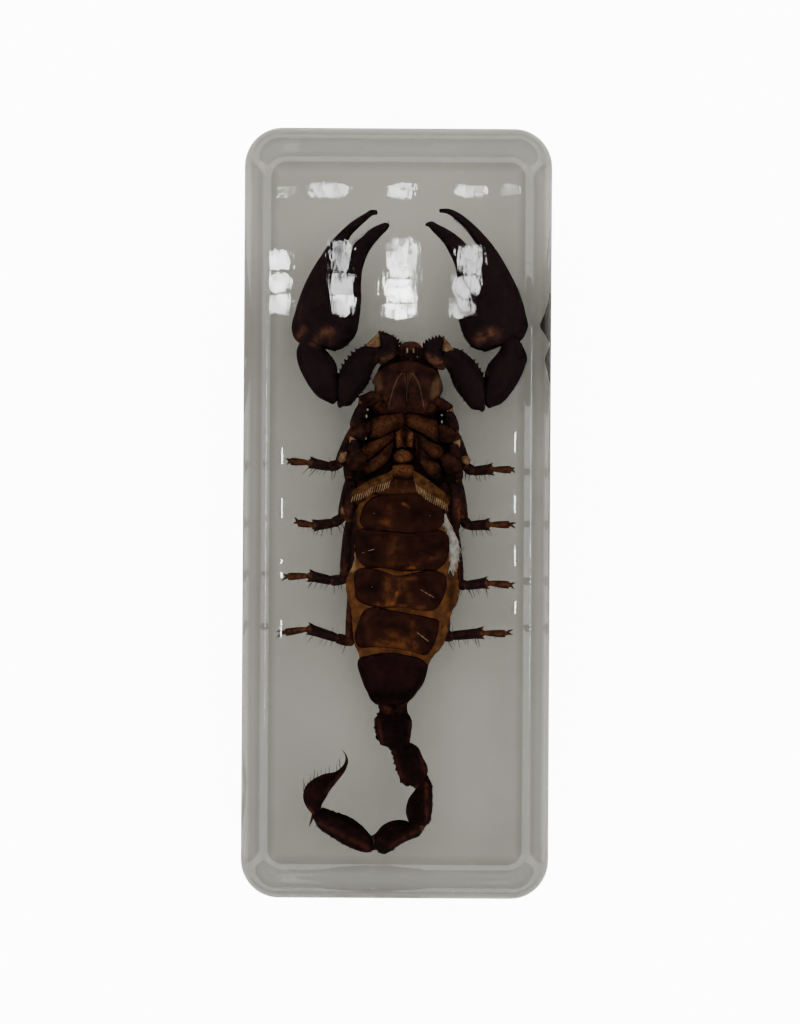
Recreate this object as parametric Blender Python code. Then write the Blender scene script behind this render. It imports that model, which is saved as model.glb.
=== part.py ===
"""Builds a dark forest scorpion sealed belly up in a clear resin block that lies flat.

The block's base is centred on the origin and +Z is up. +Y runs along the block, from the curled tail to the
claws. The animal is one closed solid. The resin is parted at mid height into two halves, so that each half is
open over its half of the pocket.
"""

import math

import bmesh
import bpy
from mathutils import Matrix, Vector

MM = 0.001  # the sizes below are in millimetres, and Blender's unit is the metre

# The resin block.
BLOCK_LENGTH = 150.0
BLOCK_WIDTH = 60.0
BLOCK_HEIGHT = 25.0
EDGE_FILLET = 5.0
CORNER_RADIUS = 7.5
PARTING_GAP = 0.3
CLEARANCE = 0.4  # the least gap between the animal and its pocket
MID = BLOCK_HEIGHT / 2

# How finely round things are cut.
CORNER_STEPS = 5
FILLET_RESOLUTION = 2
TUBE_RESOLUTION = 1  # six sides

SHARP_DEGREES = 40  # edges sharper than this are not smoothed over
WELD = 0.002
OVERSHOOT = 1.0  # how far a cutting slab runs past the block

# Small features. A root is how deep a spike starts inside what carries it.
SPINE_LENGTH = 0.9
SPINE_ROOT = 0.5
SPINE_RADIUS = 0.5
TEETH_COUNT = 9
TOOTH_LENGTH = 2.0
TOOTH_RADIUS = 0.4
CLAW_RADIUS = 0.4
CLAW_ROOT = 0.5  # as a share of the way back to the last swelling
SPINE_ROOM = 1.15  # what the pocket leaves round the arms for their spines

# Colours.
CHITIN = (0.035, 0.014, 0.009, 1.0)
RESIN = (0.78, 0.8, 0.78, 0.3)

# A rib is a cross-section of the animal: its two edges in plan, its height above the base and half its depth.
# Plan positions are measured from the block's centre.
CARAPACE = [
    ((-1.6, 32.0), (6.0, 32.0), 11.0, 1.9),
    ((-3.4, 29.4), (7.6, 29.2), 10.9, 2.8),
    ((-4.7, 26.0), (8.7, 25.8), 10.8, 3.2),
    ((-5.7, 20.5), (9.3, 20.3), 10.8, 3.4),
    ((-6.6, 15.5), (9.7, 15.3), 11.0, 3.4),
    ((-6.9, 11.0), (9.7, 10.8), 11.2, 3.2),
]
MOUTH_COXAE = [
    ((-2.6, 29.9), (6.6, 29.6), 14.0, 1.4),
    ((-4.5, 27.6), (8.4, 27.2), 14.0, 2.0),
    ((-5.0, 25.6), (9.1, 25.2), 14.0, 2.2),
    ((-4.5, 23.4), (8.6, 23.2), 14.0, 2.3),
    ((-4.0, 20.4), (7.6, 20.2), 14.0, 2.2),
]
LEFT_MOUTH_LOBE = [
    ((1.2, 28.2), (1.9, 28.2), 15.0, 0.8),
    ((-0.9, 24.4), (1.8, 24.4), 15.2, 1.4),
    ((-1.9, 21.2), (1.7, 21.2), 15.0, 1.5),
]
RIGHT_MOUTH_LOBE = [
    ((2.1, 28.2), (3.0, 28.0), 15.0, 0.8),
    ((2.1, 24.4), (4.7, 24.2), 15.2, 1.4),
    ((2.0, 21.2), (5.4, 21.0), 15.0, 1.5),
]
LEFT_CHELICERA = [
    ((0.2, 27.0), (2.7, 27.0), 12.6, 1.6),
    ((0.3, 32.2), (2.7, 32.2), 12.6, 1.6),
    ((1.4, 33.7), (2.7, 33.9), 12.6, 0.7),
]
RIGHT_CHELICERA = [
    ((2.9, 27.0), (5.4, 27.0), 12.6, 1.6),
    ((2.9, 32.2), (5.2, 32.2), 12.6, 1.6),
    ((2.9, 33.9), (4.2, 33.7), 12.6, 0.7),
]
# The coxae of legs 2, 3 and 4, left then right, each from the middle of the body outwards.
COXAE = [
    [
        ((0.9, 20.0), (0.9, 17.8), 14.6, 1.5),
        ((-2.4, 19.7), (-2.4, 15.9), 14.7, 1.9),
        ((-5.6, 18.3), (-5.6, 15.0), 14.5, 1.9),
    ],
    [
        ((1.9, 20.0), (1.9, 17.7), 14.6, 1.5),
        ((5.0, 19.2), (5.0, 15.8), 14.7, 1.9),
        ((8.3, 17.8), (8.3, 14.6), 14.5, 1.9),
    ],
    [
        ((-0.5, 16.2), (-1.2, 15.0), 14.4, 1.4),
        ((-3.6, 14.5), (-4.2, 10.6), 14.7, 1.9),
        ((-7.4, 12.6), (-6.2, 8.8), 14.4, 2.0),
    ],
    [
        ((3.2, 16.2), (3.9, 14.8), 14.4, 1.4),
        ((6.2, 14.4), (6.6, 10.6), 14.7, 1.9),
        ((9.8, 12.2), (8.6, 8.6), 14.4, 2.0),
    ],
    [
        ((-0.9, 14.8), (-0.6, 12.4), 14.2, 1.4),
        ((-3.8, 10.6), (-1.6, 9.6), 14.5, 1.7),
        ((-6.2, 6.6), (-3.2, 5.4), 14.2, 1.8),
    ],
    [
        ((3.6, 14.6), (3.2, 12.4), 14.2, 1.4),
        ((6.4, 10.4), (4.2, 9.4), 14.5, 1.7),
        ((8.8, 6.4), (5.8, 5.2), 14.2, 1.8),
    ],
]
STERNUM = [
    ((0.9, 17.6), (1.9, 17.6), 14.8, 1.0),
    ((-0.3, 16.6), (3.1, 16.5), 15.0, 1.5),
    ((-0.3, 13.0), (3.1, 13.0), 15.0, 1.6),
    ((0.7, 12.3), (1.8, 12.3), 14.8, 1.3),
]
OPERCULUM = [
    ((0.3, 12.5), (2.1, 12.5), 15.2, 1.0),
    ((-0.7, 11.3), (3.1, 11.2), 15.4, 1.4),
    ((-0.5, 9.8), (2.9, 9.8), 15.4, 1.3),
    ((-0.7, 8.4), (3.1, 8.4), 15.3, 1.2),
]
# The trunk narrows and thins at each joint between two of its segments.
TRUNK = [
    ((-6.0, 11.4), (8.6, 11.2), 11.8, 3.9),
    ((-7.2, 7.0), (9.4, 6.8), 11.9, 4.3),
    ((-7.5, 3.9), (9.8, 3.7), 12.0, 4.3),
    ((-7.2, 3.3), (9.5, 3.1), 12.0, 3.8),
    ((-7.8, 2.2), (10.2, 2.0), 12.0, 4.6),
    ((-8.2, -3.0), (11.2, -3.2), 12.0, 4.7),
    ((-8.0, -3.7), (11.3, -3.9), 12.0, 4.1),
    ((-8.3, -4.6), (11.7, -4.8), 12.0, 4.7),
    ((-8.7, -10.4), (12.1, -10.5), 12.0, 4.7),
    ((-9.0, -11.2), (12.0, -11.3), 12.0, 4.1),
    ((-9.6, -12.2), (12.1, -12.4), 12.0, 4.7),
    ((-9.2, -18.2), (11.7, -18.6), 12.0, 4.7),
    ((-8.8, -19.1), (11.0, -19.4), 12.0, 4.1),
    ((-8.7, -20.2), (10.8, -20.6), 12.1, 4.5),
    ((-7.9, -26.6), (8.6, -27.0), 12.1, 4.3),
    ((-7.3, -27.9), (7.1, -28.2), 12.2, 3.7),
    ((-7.3, -29.4), (6.8, -29.5), 12.3, 4.1),
    ((-6.8, -33.2), (5.8, -33.2), 12.4, 3.9),
    ((-4.5, -37.3), (2.5, -37.5), 12.5, 3.2),
]

# The left arm, from the body outwards. The right arm mirrors it, with each part a little shifted, but for its
# claw, which is held wider open.
TROCHANTER = [
    ((-3.2, 29.0), (1.0, 30.2), 12.8, 2.4),
    ((-3.7, 31.5), (0.6, 33.2), 12.6, 2.8),
    ((-3.8, 33.2), (-1.5, 34.9), 12.6, 2.5),
    ((-3.8, 34.5), (-3.1, 35.6), 12.6, 1.6),
]
FEMUR = [
    ((-4.6, 33.4), (-3.3, 30.8), 12.5, 1.9),
    ((-7.6, 32.1), (-4.8, 28.2), 12.5, 2.9),
    ((-9.8, 30.0), (-6.2, 25.6), 12.5, 3.1),
    ((-11.4, 27.4), (-8.2, 22.9), 12.5, 3.1),
    ((-12.0, 24.5), (-9.8, 21.2), 12.5, 2.8),
    ((-11.9, 22.3), (-10.9, 21.3), 12.5, 1.8),
]
PATELLA = [
    ((-13.0, 21.5), (-11.4, 24.0), 12.5, 2.4),
    ((-15.6, 22.9), (-11.9, 27.0), 12.5, 3.0),
    ((-18.0, 26.2), (-12.1, 28.9), 12.5, 3.4),
    ((-19.5, 29.4), (-12.9, 30.8), 12.5, 3.4),
    ((-19.8, 31.9), (-14.4, 32.2), 12.6, 3.0),
    ((-18.6, 34.2), (-15.8, 34.0), 12.8, 2.2),
]
PALM = [
    ((-15.6, 33.0), (-12.2, 32.1), 12.4, 2.6),
    ((-19.9, 34.1), (-9.9, 33.2), 12.4, 3.7),
    ((-20.8, 36.0), (-8.4, 35.6), 12.4, 4.3),
    ((-20.2, 39.6), (-7.5, 39.4), 12.4, 4.6),
    ((-18.8, 44.0), (-7.4, 43.6), 12.4, 4.4),
    ((-16.7, 48.3), (-7.3, 47.6), 12.4, 3.9),
    ((-14.6, 51.6), (-7.2, 49.6), 12.4, 2.9),
]
FIXED_FINGER = [
    ((-16.0, 49.4), (-10.4, 49.6), 12.4, 2.9),
    ((-13.9, 52.6), (-10.0, 52.4), 12.4, 2.3),
    ((-11.6, 55.2), (-9.4, 54.5), 12.4, 1.8),
    ((-9.0, 57.5), (-7.7, 56.4), 12.4, 1.3),
    ((-6.6, 59.0), (-6.0, 58.0), 12.4, 0.9),
    ((-4.6, 59.8), (-4.5, 59.0), 12.4, 0.5),
    ((-3.8, 59.6), (-3.7, 59.3), 12.4, 0.2),
]
MOVING_FINGER = [
    ((-9.9, 49.2), (-7.3, 46.8), 12.4, 2.6),
    ((-8.9, 52.0), (-6.6, 50.0), 12.4, 2.3),
    ((-8.0, 53.7), (-5.3, 52.4), 12.4, 2.0),
    ((-6.2, 55.2), (-3.9, 54.1), 12.4, 1.6),
    ((-4.0, 56.7), (-2.5, 55.5), 12.4, 1.1),
    ((-2.2, 57.5), (-1.7, 56.7), 12.4, 0.5),
    ((-1.8, 57.7), (-1.4, 57.3), 12.4, 0.2),
]
RIGHT_PALM = [
    ((20.2, 33.4), (16.8, 32.5), 12.4, 2.6),
    ((24.5, 34.5), (14.5, 33.5), 12.4, 3.7),
    ((25.4, 36.3), (13.0, 35.9), 12.4, 4.3),
    ((25.0, 40.0), (12.1, 39.7), 12.4, 4.6),
    ((23.6, 44.3), (12.0, 43.9), 12.4, 4.4),
    ((21.6, 48.4), (11.9, 47.9), 12.4, 3.8),
    ((20.4, 50.2), (11.8, 49.2), 12.4, 3.0),
]
RIGHT_FIXED_FINGER = [
    ((21.4, 48.4), (16.4, 48.6), 12.4, 2.9),
    ((19.2, 52.2), (16.4, 51.6), 12.4, 2.3),
    ((17.2, 54.7), (14.9, 53.6), 12.4, 1.9),
    ((14.4, 57.5), (13.2, 56.1), 12.4, 1.4),
    ((11.8, 59.3), (11.1, 58.1), 12.4, 0.9),
    ((9.7, 60.1), (9.6, 59.2), 12.4, 0.5),
    ((8.6, 59.9), (8.5, 59.6), 12.4, 0.2),
]
RIGHT_MOVING_FINGER = [
    ((15.3, 49.0), (11.8, 47.4), 12.4, 2.6),
    ((14.2, 51.6), (10.6, 50.9), 12.4, 2.3),
    ((12.5, 54.0), (9.3, 53.1), 12.4, 1.9),
    ((10.4, 55.5), (7.9, 54.6), 12.4, 1.5),
    ((8.2, 56.8), (6.9, 55.6), 12.4, 1.0),
    ((6.6, 57.5), (6.1, 56.6), 12.4, 0.5),
    ((6.2, 57.5), (5.8, 57.1), 12.4, 0.2),
]


def mirrored(ribs, middle, shift):
    """The same part of the other arm."""
    made = []
    for a, b, height, depth in ribs:
        made.append(((2 * middle - a[0], a[1] + shift), (2 * middle - b[0], b[1] + shift), height, depth))
    return made


LEFT_ARM = {
    "trochanter": TROCHANTER,
    "femur": FEMUR,
    "patella": PATELLA,
    "palm": PALM,
    "fixed_finger": FIXED_FINGER,
    "moving_finger": MOVING_FINGER,
}
RIGHT_ARM = {
    "trochanter": mirrored(TROCHANTER, 2.7, -0.9),
    "femur": mirrored(FEMUR, 2.7, -0.9),
    "patella": mirrored(PATELLA, 2.55, -0.4),
    "palm": RIGHT_PALM,
    "fixed_finger": RIGHT_FIXED_FINGER,
    "moving_finger": RIGHT_MOVING_FINGER,
}
ARM_SIDES = {"palm": 12, "femur": 10, "patella": 10, "trochanter": 8, "fixed_finger": 6, "moving_finger": 6}
# Rows of blunt spines on each arm: first and last point, count and the way they lean.
LEFT_SPINES = [
    ((-2.9, 35.1), (0.1, 33.2), 5, (0.4, 1.0)),
    ((-7.0, 32.2), (-11.2, 27.6), 6, (-0.8, 1.0)),
    ((-5.6, 26.8), (-8.4, 22.8), 4, (1.0, -0.6)),
    ((-14.1, 31.2), (-12.6, 27.8), 4, (1.0, 0.3)),
    ((-7.7, 43.6), (-9.2, 35.6), 7, (1.0, -0.2)),
]
RIGHT_SPINES = [
    ((8.3, 34.2), (5.3, 32.3), 5, (-0.4, 1.0)),
    ((12.4, 31.3), (16.6, 26.7), 6, (0.8, 1.0)),
    ((11.0, 25.9), (13.8, 21.9), 4, (-1.0, -0.6)),
    ((19.2, 30.8), (17.7, 27.4), 4, (-1.0, 0.3)),
    ((12.4, 43.6), (13.5, 35.8), 7, (-1.0, -0.2)),
]

# The joints of each leg from its coxa to the end of its tarsus, then the tips of its two claws.
# Plan position and height above the base.
LEGS = {
    "left_1": [
        (-3.2, 22.4, 14.4), (-6.9, 21.9, 14.2), (-8.3, 17.2, 10.6), (-11.3, 9.6, 11.2), (-13.2, 9.2, 11.5),
        (-17.0, 9.9, 12.2), (-20.9, 10.0, 12.5), (-21.9, 10.6, 12.3), (-21.7, 9.3, 12.3),
    ],
    "left_2": [
        (-5.2, 16.6, 14.5), (-8.7, 15.8, 14.2), (-9.2, 7.4, 10.4), (-10.6, -1.0, 11.2), (-12.5, -2.0, 11.5),
        (-16.4, -2.6, 12.2), (-19.3, -2.0, 12.5), (-20.0, -0.9, 12.3), (-20.3, -2.2, 12.3),
    ],
    "left_3": [
        (-6.7, 10.7, 14.4), (-8.8, 7.4, 14.0), (-9.2, -1.0, 11.4), (-10.0, -13.0, 11.4), (-12.8, -13.4, 11.6),
        (-17.0, -12.5, 12.2), (-21.3, -12.6, 12.5), (-22.3, -12.1, 12.3), (-22.5, -13.5, 12.3),
    ],
    "left_4": [
        (-4.6, 6.0, 14.1), (-6.6, 1.2, 12.4), (-8.0, -13.0, 10.2), (-8.8, -25.7, 11.2), (-11.5, -24.7, 11.6),
        (-17.1, -23.0, 12.2), (-21.8, -23.6, 12.5), (-23.6, -23.3, 12.3), (-23.5, -24.6, 12.3),
    ],
    "right_1": [
        (6.4, 22.0, 14.4), (9.8, 21.0, 14.2), (11.2, 16.4, 10.6), (13.6, 9.2, 11.2), (14.9, 8.4, 11.5),
        (18.8, 8.8, 12.2), (22.6, 8.6, 12.5), (23.4, 9.2, 12.3), (23.4, 8.0, 12.3),
    ],
    "right_2": [
        (8.0, 16.4, 14.5), (11.6, 15.3, 14.2), (12.0, 6.9, 10.4), (13.1, -1.4, 11.2), (14.1, -2.3, 11.5),
        (18.3, -2.0, 12.2), (22.2, -2.0, 12.5), (23.6, -1.7, 12.3), (23.4, -2.8, 12.3),
    ],
    "right_3": [
        (9.2, 10.4, 14.4), (11.2, 6.8, 14.0), (11.3, -3.4, 11.4), (12.3, -13.8, 11.4), (13.6, -14.2, 11.6),
        (17.9, -13.5, 12.2), (22.3, -14.0, 12.5), (23.5, -13.5, 12.3), (23.3, -14.8, 12.3),
    ],
    "right_4": [
        (7.3, 5.8, 14.1), (8.7, 1.0, 12.4), (9.0, -12.2, 10.2), (9.4, -24.2, 11.2), (11.1, -24.1, 11.6),
        (17.2, -23.5, 12.2), (21.6, -23.5, 12.5), (23.1, -22.7, 12.3), (23.0, -23.8, 12.3),
    ],
}
# The widest radius of each leg segment: trochanter, femur, patella, tibia, basitarsus and telotarsus.
LEG_RADII = (1.8, 1.5, 1.35, 1.2, 1.15, 0.75)
SWELLING = 0.65  # how far along a segment its widest place is
JOINT_SHARE = 0.8  # a joint's radius as a share of the smaller segment's

# The two comb-like pectines.
PECTINE_SPINES = [
    [(-0.8, 9.2, 15.8), (-4.5, 6.9, 16.3), (-8.5, 5.0, 16.1)],
    [(3.2, 9.2, 15.8), (4.9, 7.5, 16.2), (7.7, 5.4, 16.3), (9.6, 3.9, 16.1)],
]
PECTINE_RADIUS = 0.8
# Where each row of teeth starts and ends, and the way its teeth point.
PECTINE_TEETH = [
    ((-2.0, 7.9, 16.1), (-8.4, 4.9, 16.1), (-0.2, -1.0, 0.0)),
    ((4.0, 7.9, 16.1), (9.4, 4.0, 16.1), (0.1, -1.0, 0.0)),
]

# The tail's five rings: the middle of each end, and half the width at the near end, swelling and far end.
TAIL = [
    ((-0.6, -36.2, 12.5), (0.3, -45.2, 12.5), (2.6, 3.4, 3.2)),
    ((0.8, -44.7, 12.5), (4.9, -53.4, 12.5), (2.4, 3.0, 2.9)),
    ((5.3, -52.8, 12.5), (4.7, -61.2, 12.5), (2.1, 2.7, 2.5)),
    ((4.9, -61.2, 12.5), (-3.4, -65.2, 12.5), (2.0, 2.7, 2.2)),
    ((-3.6, -65.0, 12.5), (-16.2, -59.0, 12.5), (2.0, 2.7, 1.8)),
]
# How far along a ring its near end, shoulder, swelling and far end are.
RING_STOPS = (0.0, 0.18, 0.72, 1.0)
SHOULDER = 0.93  # the shoulder's width as a share of the swelling's
TAIL_KEELS = 6
KEEL_HEIGHT = 0.12  # as a share of the ring's radius
STING = [
    ((-16.6, -60.3), (-14.6, -58.4), 12.5, 1.2),
    ((-18.3, -57.6), (-14.4, -56.8), 12.5, 2.0),
    ((-18.3, -54.6), (-13.5, -55.2), 12.5, 2.4),
    ((-16.5, -52.4), (-12.6, -54.1), 12.5, 2.3),
    ((-13.6, -51.4), (-11.6, -52.9), 12.5, 1.5),
    ((-11.2, -50.6), (-10.2, -51.3), 12.5, 0.8),
    ((-9.85, -48.8), (-9.3, -49.0), 12.5, 0.4),
    ((-10.3, -46.9), (-10.1, -46.8), 12.5, 0.12),
]

# The pocket is coarser than the animal: its own ribs round the trunk and each claw, before the clearance.
POCKET_TRUNK = [
    ((-2.4, 34.4), (6.8, 34.4), 12.0, 3.0),
    ((-5.4, 29.8), (9.4, 29.6), 12.0, 5.0),
    ((-7.2, 23.0), (11.0, 22.8), 12.2, 5.6),
    ((-10.0, 15.0), (12.4, 14.8), 12.2, 6.0),
    ((-10.0, 6.0), (12.6, 5.6), 12.3, 5.8),
    ((-9.4, -3.0), (12.6, -3.2), 12.0, 5.0),
    ((-10.2, -12.0), (13.0, -12.4), 12.0, 5.0),
    ((-9.8, -20.0), (11.8, -20.4), 12.0, 4.9),
    ((-8.2, -30.0), (8.0, -30.2), 12.2, 4.5),
    ((-5.2, -37.6), (3.4, -37.8), 12.5, 3.8),
]
POCKET_LEFT_CLAW = [
    ((-18.6, 32.6), (-9.6, 31.6), 12.4, 3.6),
    ((-21.6, 35.2), (-7.6, 34.6), 12.4, 4.6),
    ((-21.0, 39.6), (-6.2, 39.4), 12.4, 4.9),
    ((-19.2, 45.0), (-5.9, 44.6), 12.4, 4.6),
    ((-15.8, 51.6), (-4.4, 49.2), 12.4, 3.8),
    ((-10.4, 57.4), (-2.0, 53.4), 12.4, 2.4),
    ((-4.4, 60.8), (-0.4, 56.6), 12.4, 1.3),
]
POCKET_RIGHT_CLAW = [
    ((23.2, 33.0), (14.2, 32.0), 12.4, 3.6),
    ((26.2, 35.6), (12.2, 35.0), 12.4, 4.6),
    ((25.8, 39.8), (10.8, 39.6), 12.4, 4.9),
    ((24.2, 44.8), (10.4, 44.4), 12.4, 4.6),
    ((21.4, 51.4), (9.4, 48.6), 12.4, 3.8),
    ((15.4, 58.0), (7.2, 53.4), 12.4, 2.4),
    ((9.6, 61.0), (4.9, 56.4), 12.4, 1.1),
]
POCKET_PECTINES = [[(-0.8, 8.6, 15.6), (-9.5, 3.8, 15.8)], [(3.2, 8.6, 15.6), (10.3, 3.0, 15.8)]]
POCKET_PECTINE_RADIUS = 2.0
POCKET_TOE_RADIUS = 1.4
POCKET_TOE_REACH = 1.4  # how far past the claws, as a share of their length
POCKET_SIDES = 8


def new_object(name, data, collection):
    obj = bpy.data.objects.new(name, data)
    collection.objects.link(obj)
    return obj


def new_collection(name):
    collection = bpy.data.collections.new(name)
    bpy.context.scene.collection.children.link(collection)
    return collection


def evaluated_mesh(obj, name):
    """The object's mesh with its modifiers applied and its loose caps welded."""
    bpy.context.view_layer.update()
    graph = bpy.context.evaluated_depsgraph_get()
    mesh = bpy.data.meshes.new_from_object(obj.evaluated_get(graph), depsgraph=graph)
    mesh.name = name
    bm = bmesh.new()
    bm.from_mesh(mesh)
    bmesh.ops.remove_doubles(bm, verts=bm.verts, dist=WELD * MM)
    bmesh.ops.recalc_face_normals(bm, faces=bm.faces)
    bm.to_mesh(mesh)
    bm.free()
    return mesh


def curve_to_mesh(curve, name, collection):
    """A mesh object in place of a curve object."""
    solid = new_object(name, evaluated_mesh(curve, name), collection)
    solid.matrix_world = curve.matrix_world
    bpy.data.objects.remove(curve, do_unlink=True)
    return solid


def material(name, colour, roughness):
    made = bpy.data.materials.new(name)
    made.use_nodes = True
    shader = made.node_tree.nodes["Principled BSDF"]
    shader.inputs["Base Color"].default_value = colour
    shader.inputs["Roughness"].default_value = roughness
    shader.inputs["Metallic"].default_value = 0.0
    shader.inputs["Alpha"].default_value = colour[3]
    made.diffuse_color = colour
    return made


def ringed_body(name, rings, collection):
    """A closed body from rings of points in millimetres, with a face at each end."""
    bm = bmesh.new()
    rings = [[bm.verts.new(point * MM) for point in ring] for ring in rings]
    for near, far in zip(rings, rings[1:]):
        for k in range(len(near)):
            bm.faces.new((near[k], near[k - 1], far[k - 1], far[k]))
    bm.faces.new(rings[0])
    bm.faces.new(reversed(rings[-1]))
    bmesh.ops.recalc_face_normals(bm, faces=bm.faces)
    mesh = bpy.data.meshes.new(name)
    bm.to_mesh(mesh)
    bm.free()
    return new_object(name, mesh, collection)


def loft(ribs, sides, collection, spare=0.0):
    """A body through elliptical ribs. With spare, its flat sides clear the same ribs by that much."""
    stretch = 1 / math.cos(math.pi / sides) if spare else 1.0
    middles = [(Vector(a) + Vector(b)) / 2 for a, b, _, _ in ribs]
    start, end = middles[0] - middles[1], middles[-1] - middles[-2]
    middles[0] = middles[0] + start.normalized() * spare
    middles[-1] = middles[-1] + end.normalized() * spare
    rings = []
    for middle, (a, b, height, depth) in zip(middles, ribs):
        half = (Vector(b) - Vector(a)) / 2
        half *= (half.length + spare) * stretch / half.length
        depth = (depth + spare) * stretch
        ring = []
        for k in range(sides):
            angle = 2 * math.pi * (k + 0.5) / sides
            spot = middle + half * math.cos(angle)
            ring.append(Vector((spot.x, spot.y, height + depth * math.sin(angle))))
        rings.append(ring)
    return ringed_body("loft", rings, collection)


def tube(points, radii, resolution, collection):
    """A round tube along a line, with its own radius at each point and flat ends."""
    data = bpy.data.curves.new("tube", "CURVE")
    data.dimensions = "3D"
    data.bevel_depth = MM
    data.bevel_resolution = resolution
    data.use_fill_caps = True
    spline = data.splines.new("POLY")
    spline.points.add(len(points) - 1)
    for spot, point, radius in zip(spline.points, points, radii):
        spot.co = (*(Vector(point) * MM), 1.0)
        spot.radius = radius
    return curve_to_mesh(new_object("tube", data, collection), "tube", collection)


def spikes(feet, tips, radius, collection):
    """Three-sided cones from feet to tips, as one object."""
    bm = bmesh.new()
    for foot, tip in zip(feet, tips):
        foot, tip = Vector(foot) * MM, Vector(tip) * MM
        turn = Vector((0, 0, 1)).rotation_difference(tip - foot).to_matrix().to_4x4()
        bmesh.ops.create_cone(
            bm,
            cap_ends=True,
            segments=3,
            radius1=radius * MM,
            radius2=0.0,
            depth=(tip - foot).length,
            matrix=Matrix.Translation((foot + tip) / 2) @ turn,
        )
    mesh = bpy.data.meshes.new("spikes")
    bm.to_mesh(mesh)
    bm.free()
    return new_object("spikes", mesh, collection)


def evenly(first, last, count):
    """Points on the straight line from first to last, both ends included."""
    first, last = Vector(first), Vector(last)
    return [first.lerp(last, i / (count - 1)) for i in range(count)]


def leg_line(joints):
    """The points of a leg's tube and their radii: each segment swells, and then narrows to its joint."""
    points, radii = [joints[0]], [LEG_RADII[0]]
    for i, radius in enumerate(LEG_RADII):
        near, far = Vector(joints[i]), Vector(joints[i + 1])
        points += [near.lerp(far, SWELLING), far]
        radii += [radius, JOINT_SHARE * min(LEG_RADII[i : i + 2])]
    return points, radii


def wide_tube(points, radii, collection):
    """A coarse tube that clears a line of these radii by the clearance, its bends included."""
    points = [Vector(point) for point in points]
    steps = [(far - near).normalized() for near, far in zip(points, points[1:])]
    widths = []
    for i, radius in enumerate(radii):
        turn = steps[max(0, i - 1)].angle(steps[min(i, len(steps) - 1)])
        widths.append((radius + CLEARANCE) / math.cos(turn / 2) / math.cos(math.pi / 6))
    points[0] = points[0] - steps[0] * CLEARANCE
    points[-1] = points[-1] + steps[-1] * CLEARANCE
    return tube(points, widths, TUBE_RESOLUTION, collection)


def make_head(collection):
    loft(CARAPACE, 14, collection)
    loft(MOUTH_COXAE, 12, collection)
    for lobe in (LEFT_MOUTH_LOBE, RIGHT_MOUTH_LOBE, LEFT_CHELICERA, RIGHT_CHELICERA):
        loft(lobe, 8, collection)
    for plate in (*COXAE, STERNUM, OPERCULUM):
        loft(plate, 8, collection)


def make_arms(collection):
    for arm in (LEFT_ARM, RIGHT_ARM):
        for name, ribs in arm.items():
            loft(ribs, ARM_SIDES[name], collection)
    for first, last, count, lean in LEFT_SPINES + RIGHT_SPINES:
        feet = evenly((*first, MID), (*last, MID), count)
        lean = Vector((*lean, 0.0)).normalized()
        tips = [foot + lean * SPINE_LENGTH for foot in feet]
        roots = [foot - lean * SPINE_ROOT for foot in feet]
        spikes(roots, tips, SPINE_RADIUS, collection)


def make_legs(collection):
    for joints in LEGS.values():
        *joints, claw_a, claw_b = joints
        points, radii = leg_line(joints)
        tube(points, radii, TUBE_RESOLUTION, collection)
        heel = points[-1].lerp(points[-2], CLAW_ROOT)
        spikes([heel, heel], [claw_a, claw_b], CLAW_RADIUS, collection)


def make_pectines(collection):
    for spine, (first, last, lean) in zip(PECTINE_SPINES, PECTINE_TEETH):
        tube(spine, [PECTINE_RADIUS] * len(spine), TUBE_RESOLUTION, collection)
        feet = evenly(first, last, TEETH_COUNT)
        lean = Vector(lean).normalized()
        spikes(feet, [foot + lean * TOOTH_LENGTH for foot in feet], TOOTH_RADIUS, collection)


def tail_ring(start, end, half_widths, collection):
    """A ring of the tail: a tube with lengthwise keels, swollen past its middle."""
    start, end = Vector(start), Vector(end)
    across = (end - start).cross(Vector((0, 0, 1))).normalized()
    up = Vector((0, 0, 1))
    near, swelling, far = half_widths
    sides = 2 * TAIL_KEELS
    rings = []
    for share, radius in zip(RING_STOPS, (near, SHOULDER * swelling, swelling, far)):
        middle = start.lerp(end, share)
        ring = []
        for k in range(sides):
            angle = 2 * math.pi * k / sides
            reach = radius * (1 + (KEEL_HEIGHT if k % 2 else -KEEL_HEIGHT) / 2)
            ring.append(middle + across * (reach * math.cos(angle)) + up * (reach * math.sin(angle)))
        rings.append(ring)
    ringed_body("ring", rings, collection)


def make_tail(collection):
    for start, end, half_widths in TAIL:
        tail_ring(start, end, half_widths, collection)
    loft(STING, 10, collection)


def make_pocket(collection):
    """The larger and coarser bodies of the space round the animal. The trunk's comes before this."""
    for claw in (POCKET_LEFT_CLAW, POCKET_RIGHT_CLAW):
        loft(claw, POCKET_SIDES, collection, CLEARANCE)
    for arm in (LEFT_ARM, RIGHT_ARM):
        for name in ("trochanter", "femur", "patella"):
            ribs = arm[name]
            loft([*ribs[:-1:2], ribs[-1]], POCKET_SIDES, collection, CLEARANCE + SPINE_ROOM)
    for joints in LEGS.values():
        *joints, claw_a, claw_b = joints
        widest = [max(pair) for pair in zip(LEG_RADII, LEG_RADII[1:])]
        toe = Vector(joints[-1]).lerp((Vector(claw_a) + Vector(claw_b)) / 2, POCKET_TOE_REACH)
        wide_tube([*joints, toe], [LEG_RADII[0], *widest, POCKET_TOE_RADIUS, POCKET_TOE_RADIUS], collection)
    for spine in POCKET_PECTINES:
        wide_tube(spine, [POCKET_PECTINE_RADIUS] * len(spine), collection)
    line = [TAIL[0][0]] + [ring[1] for ring in TAIL]
    widths = [TAIL[0][2][1]] + [ring[2][1] for ring in TAIL]
    wide_tube(line, [width * (1 + KEEL_HEIGHT) for width in widths], collection)
    loft(STING, POCKET_SIDES, collection, CLEARANCE)


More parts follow.
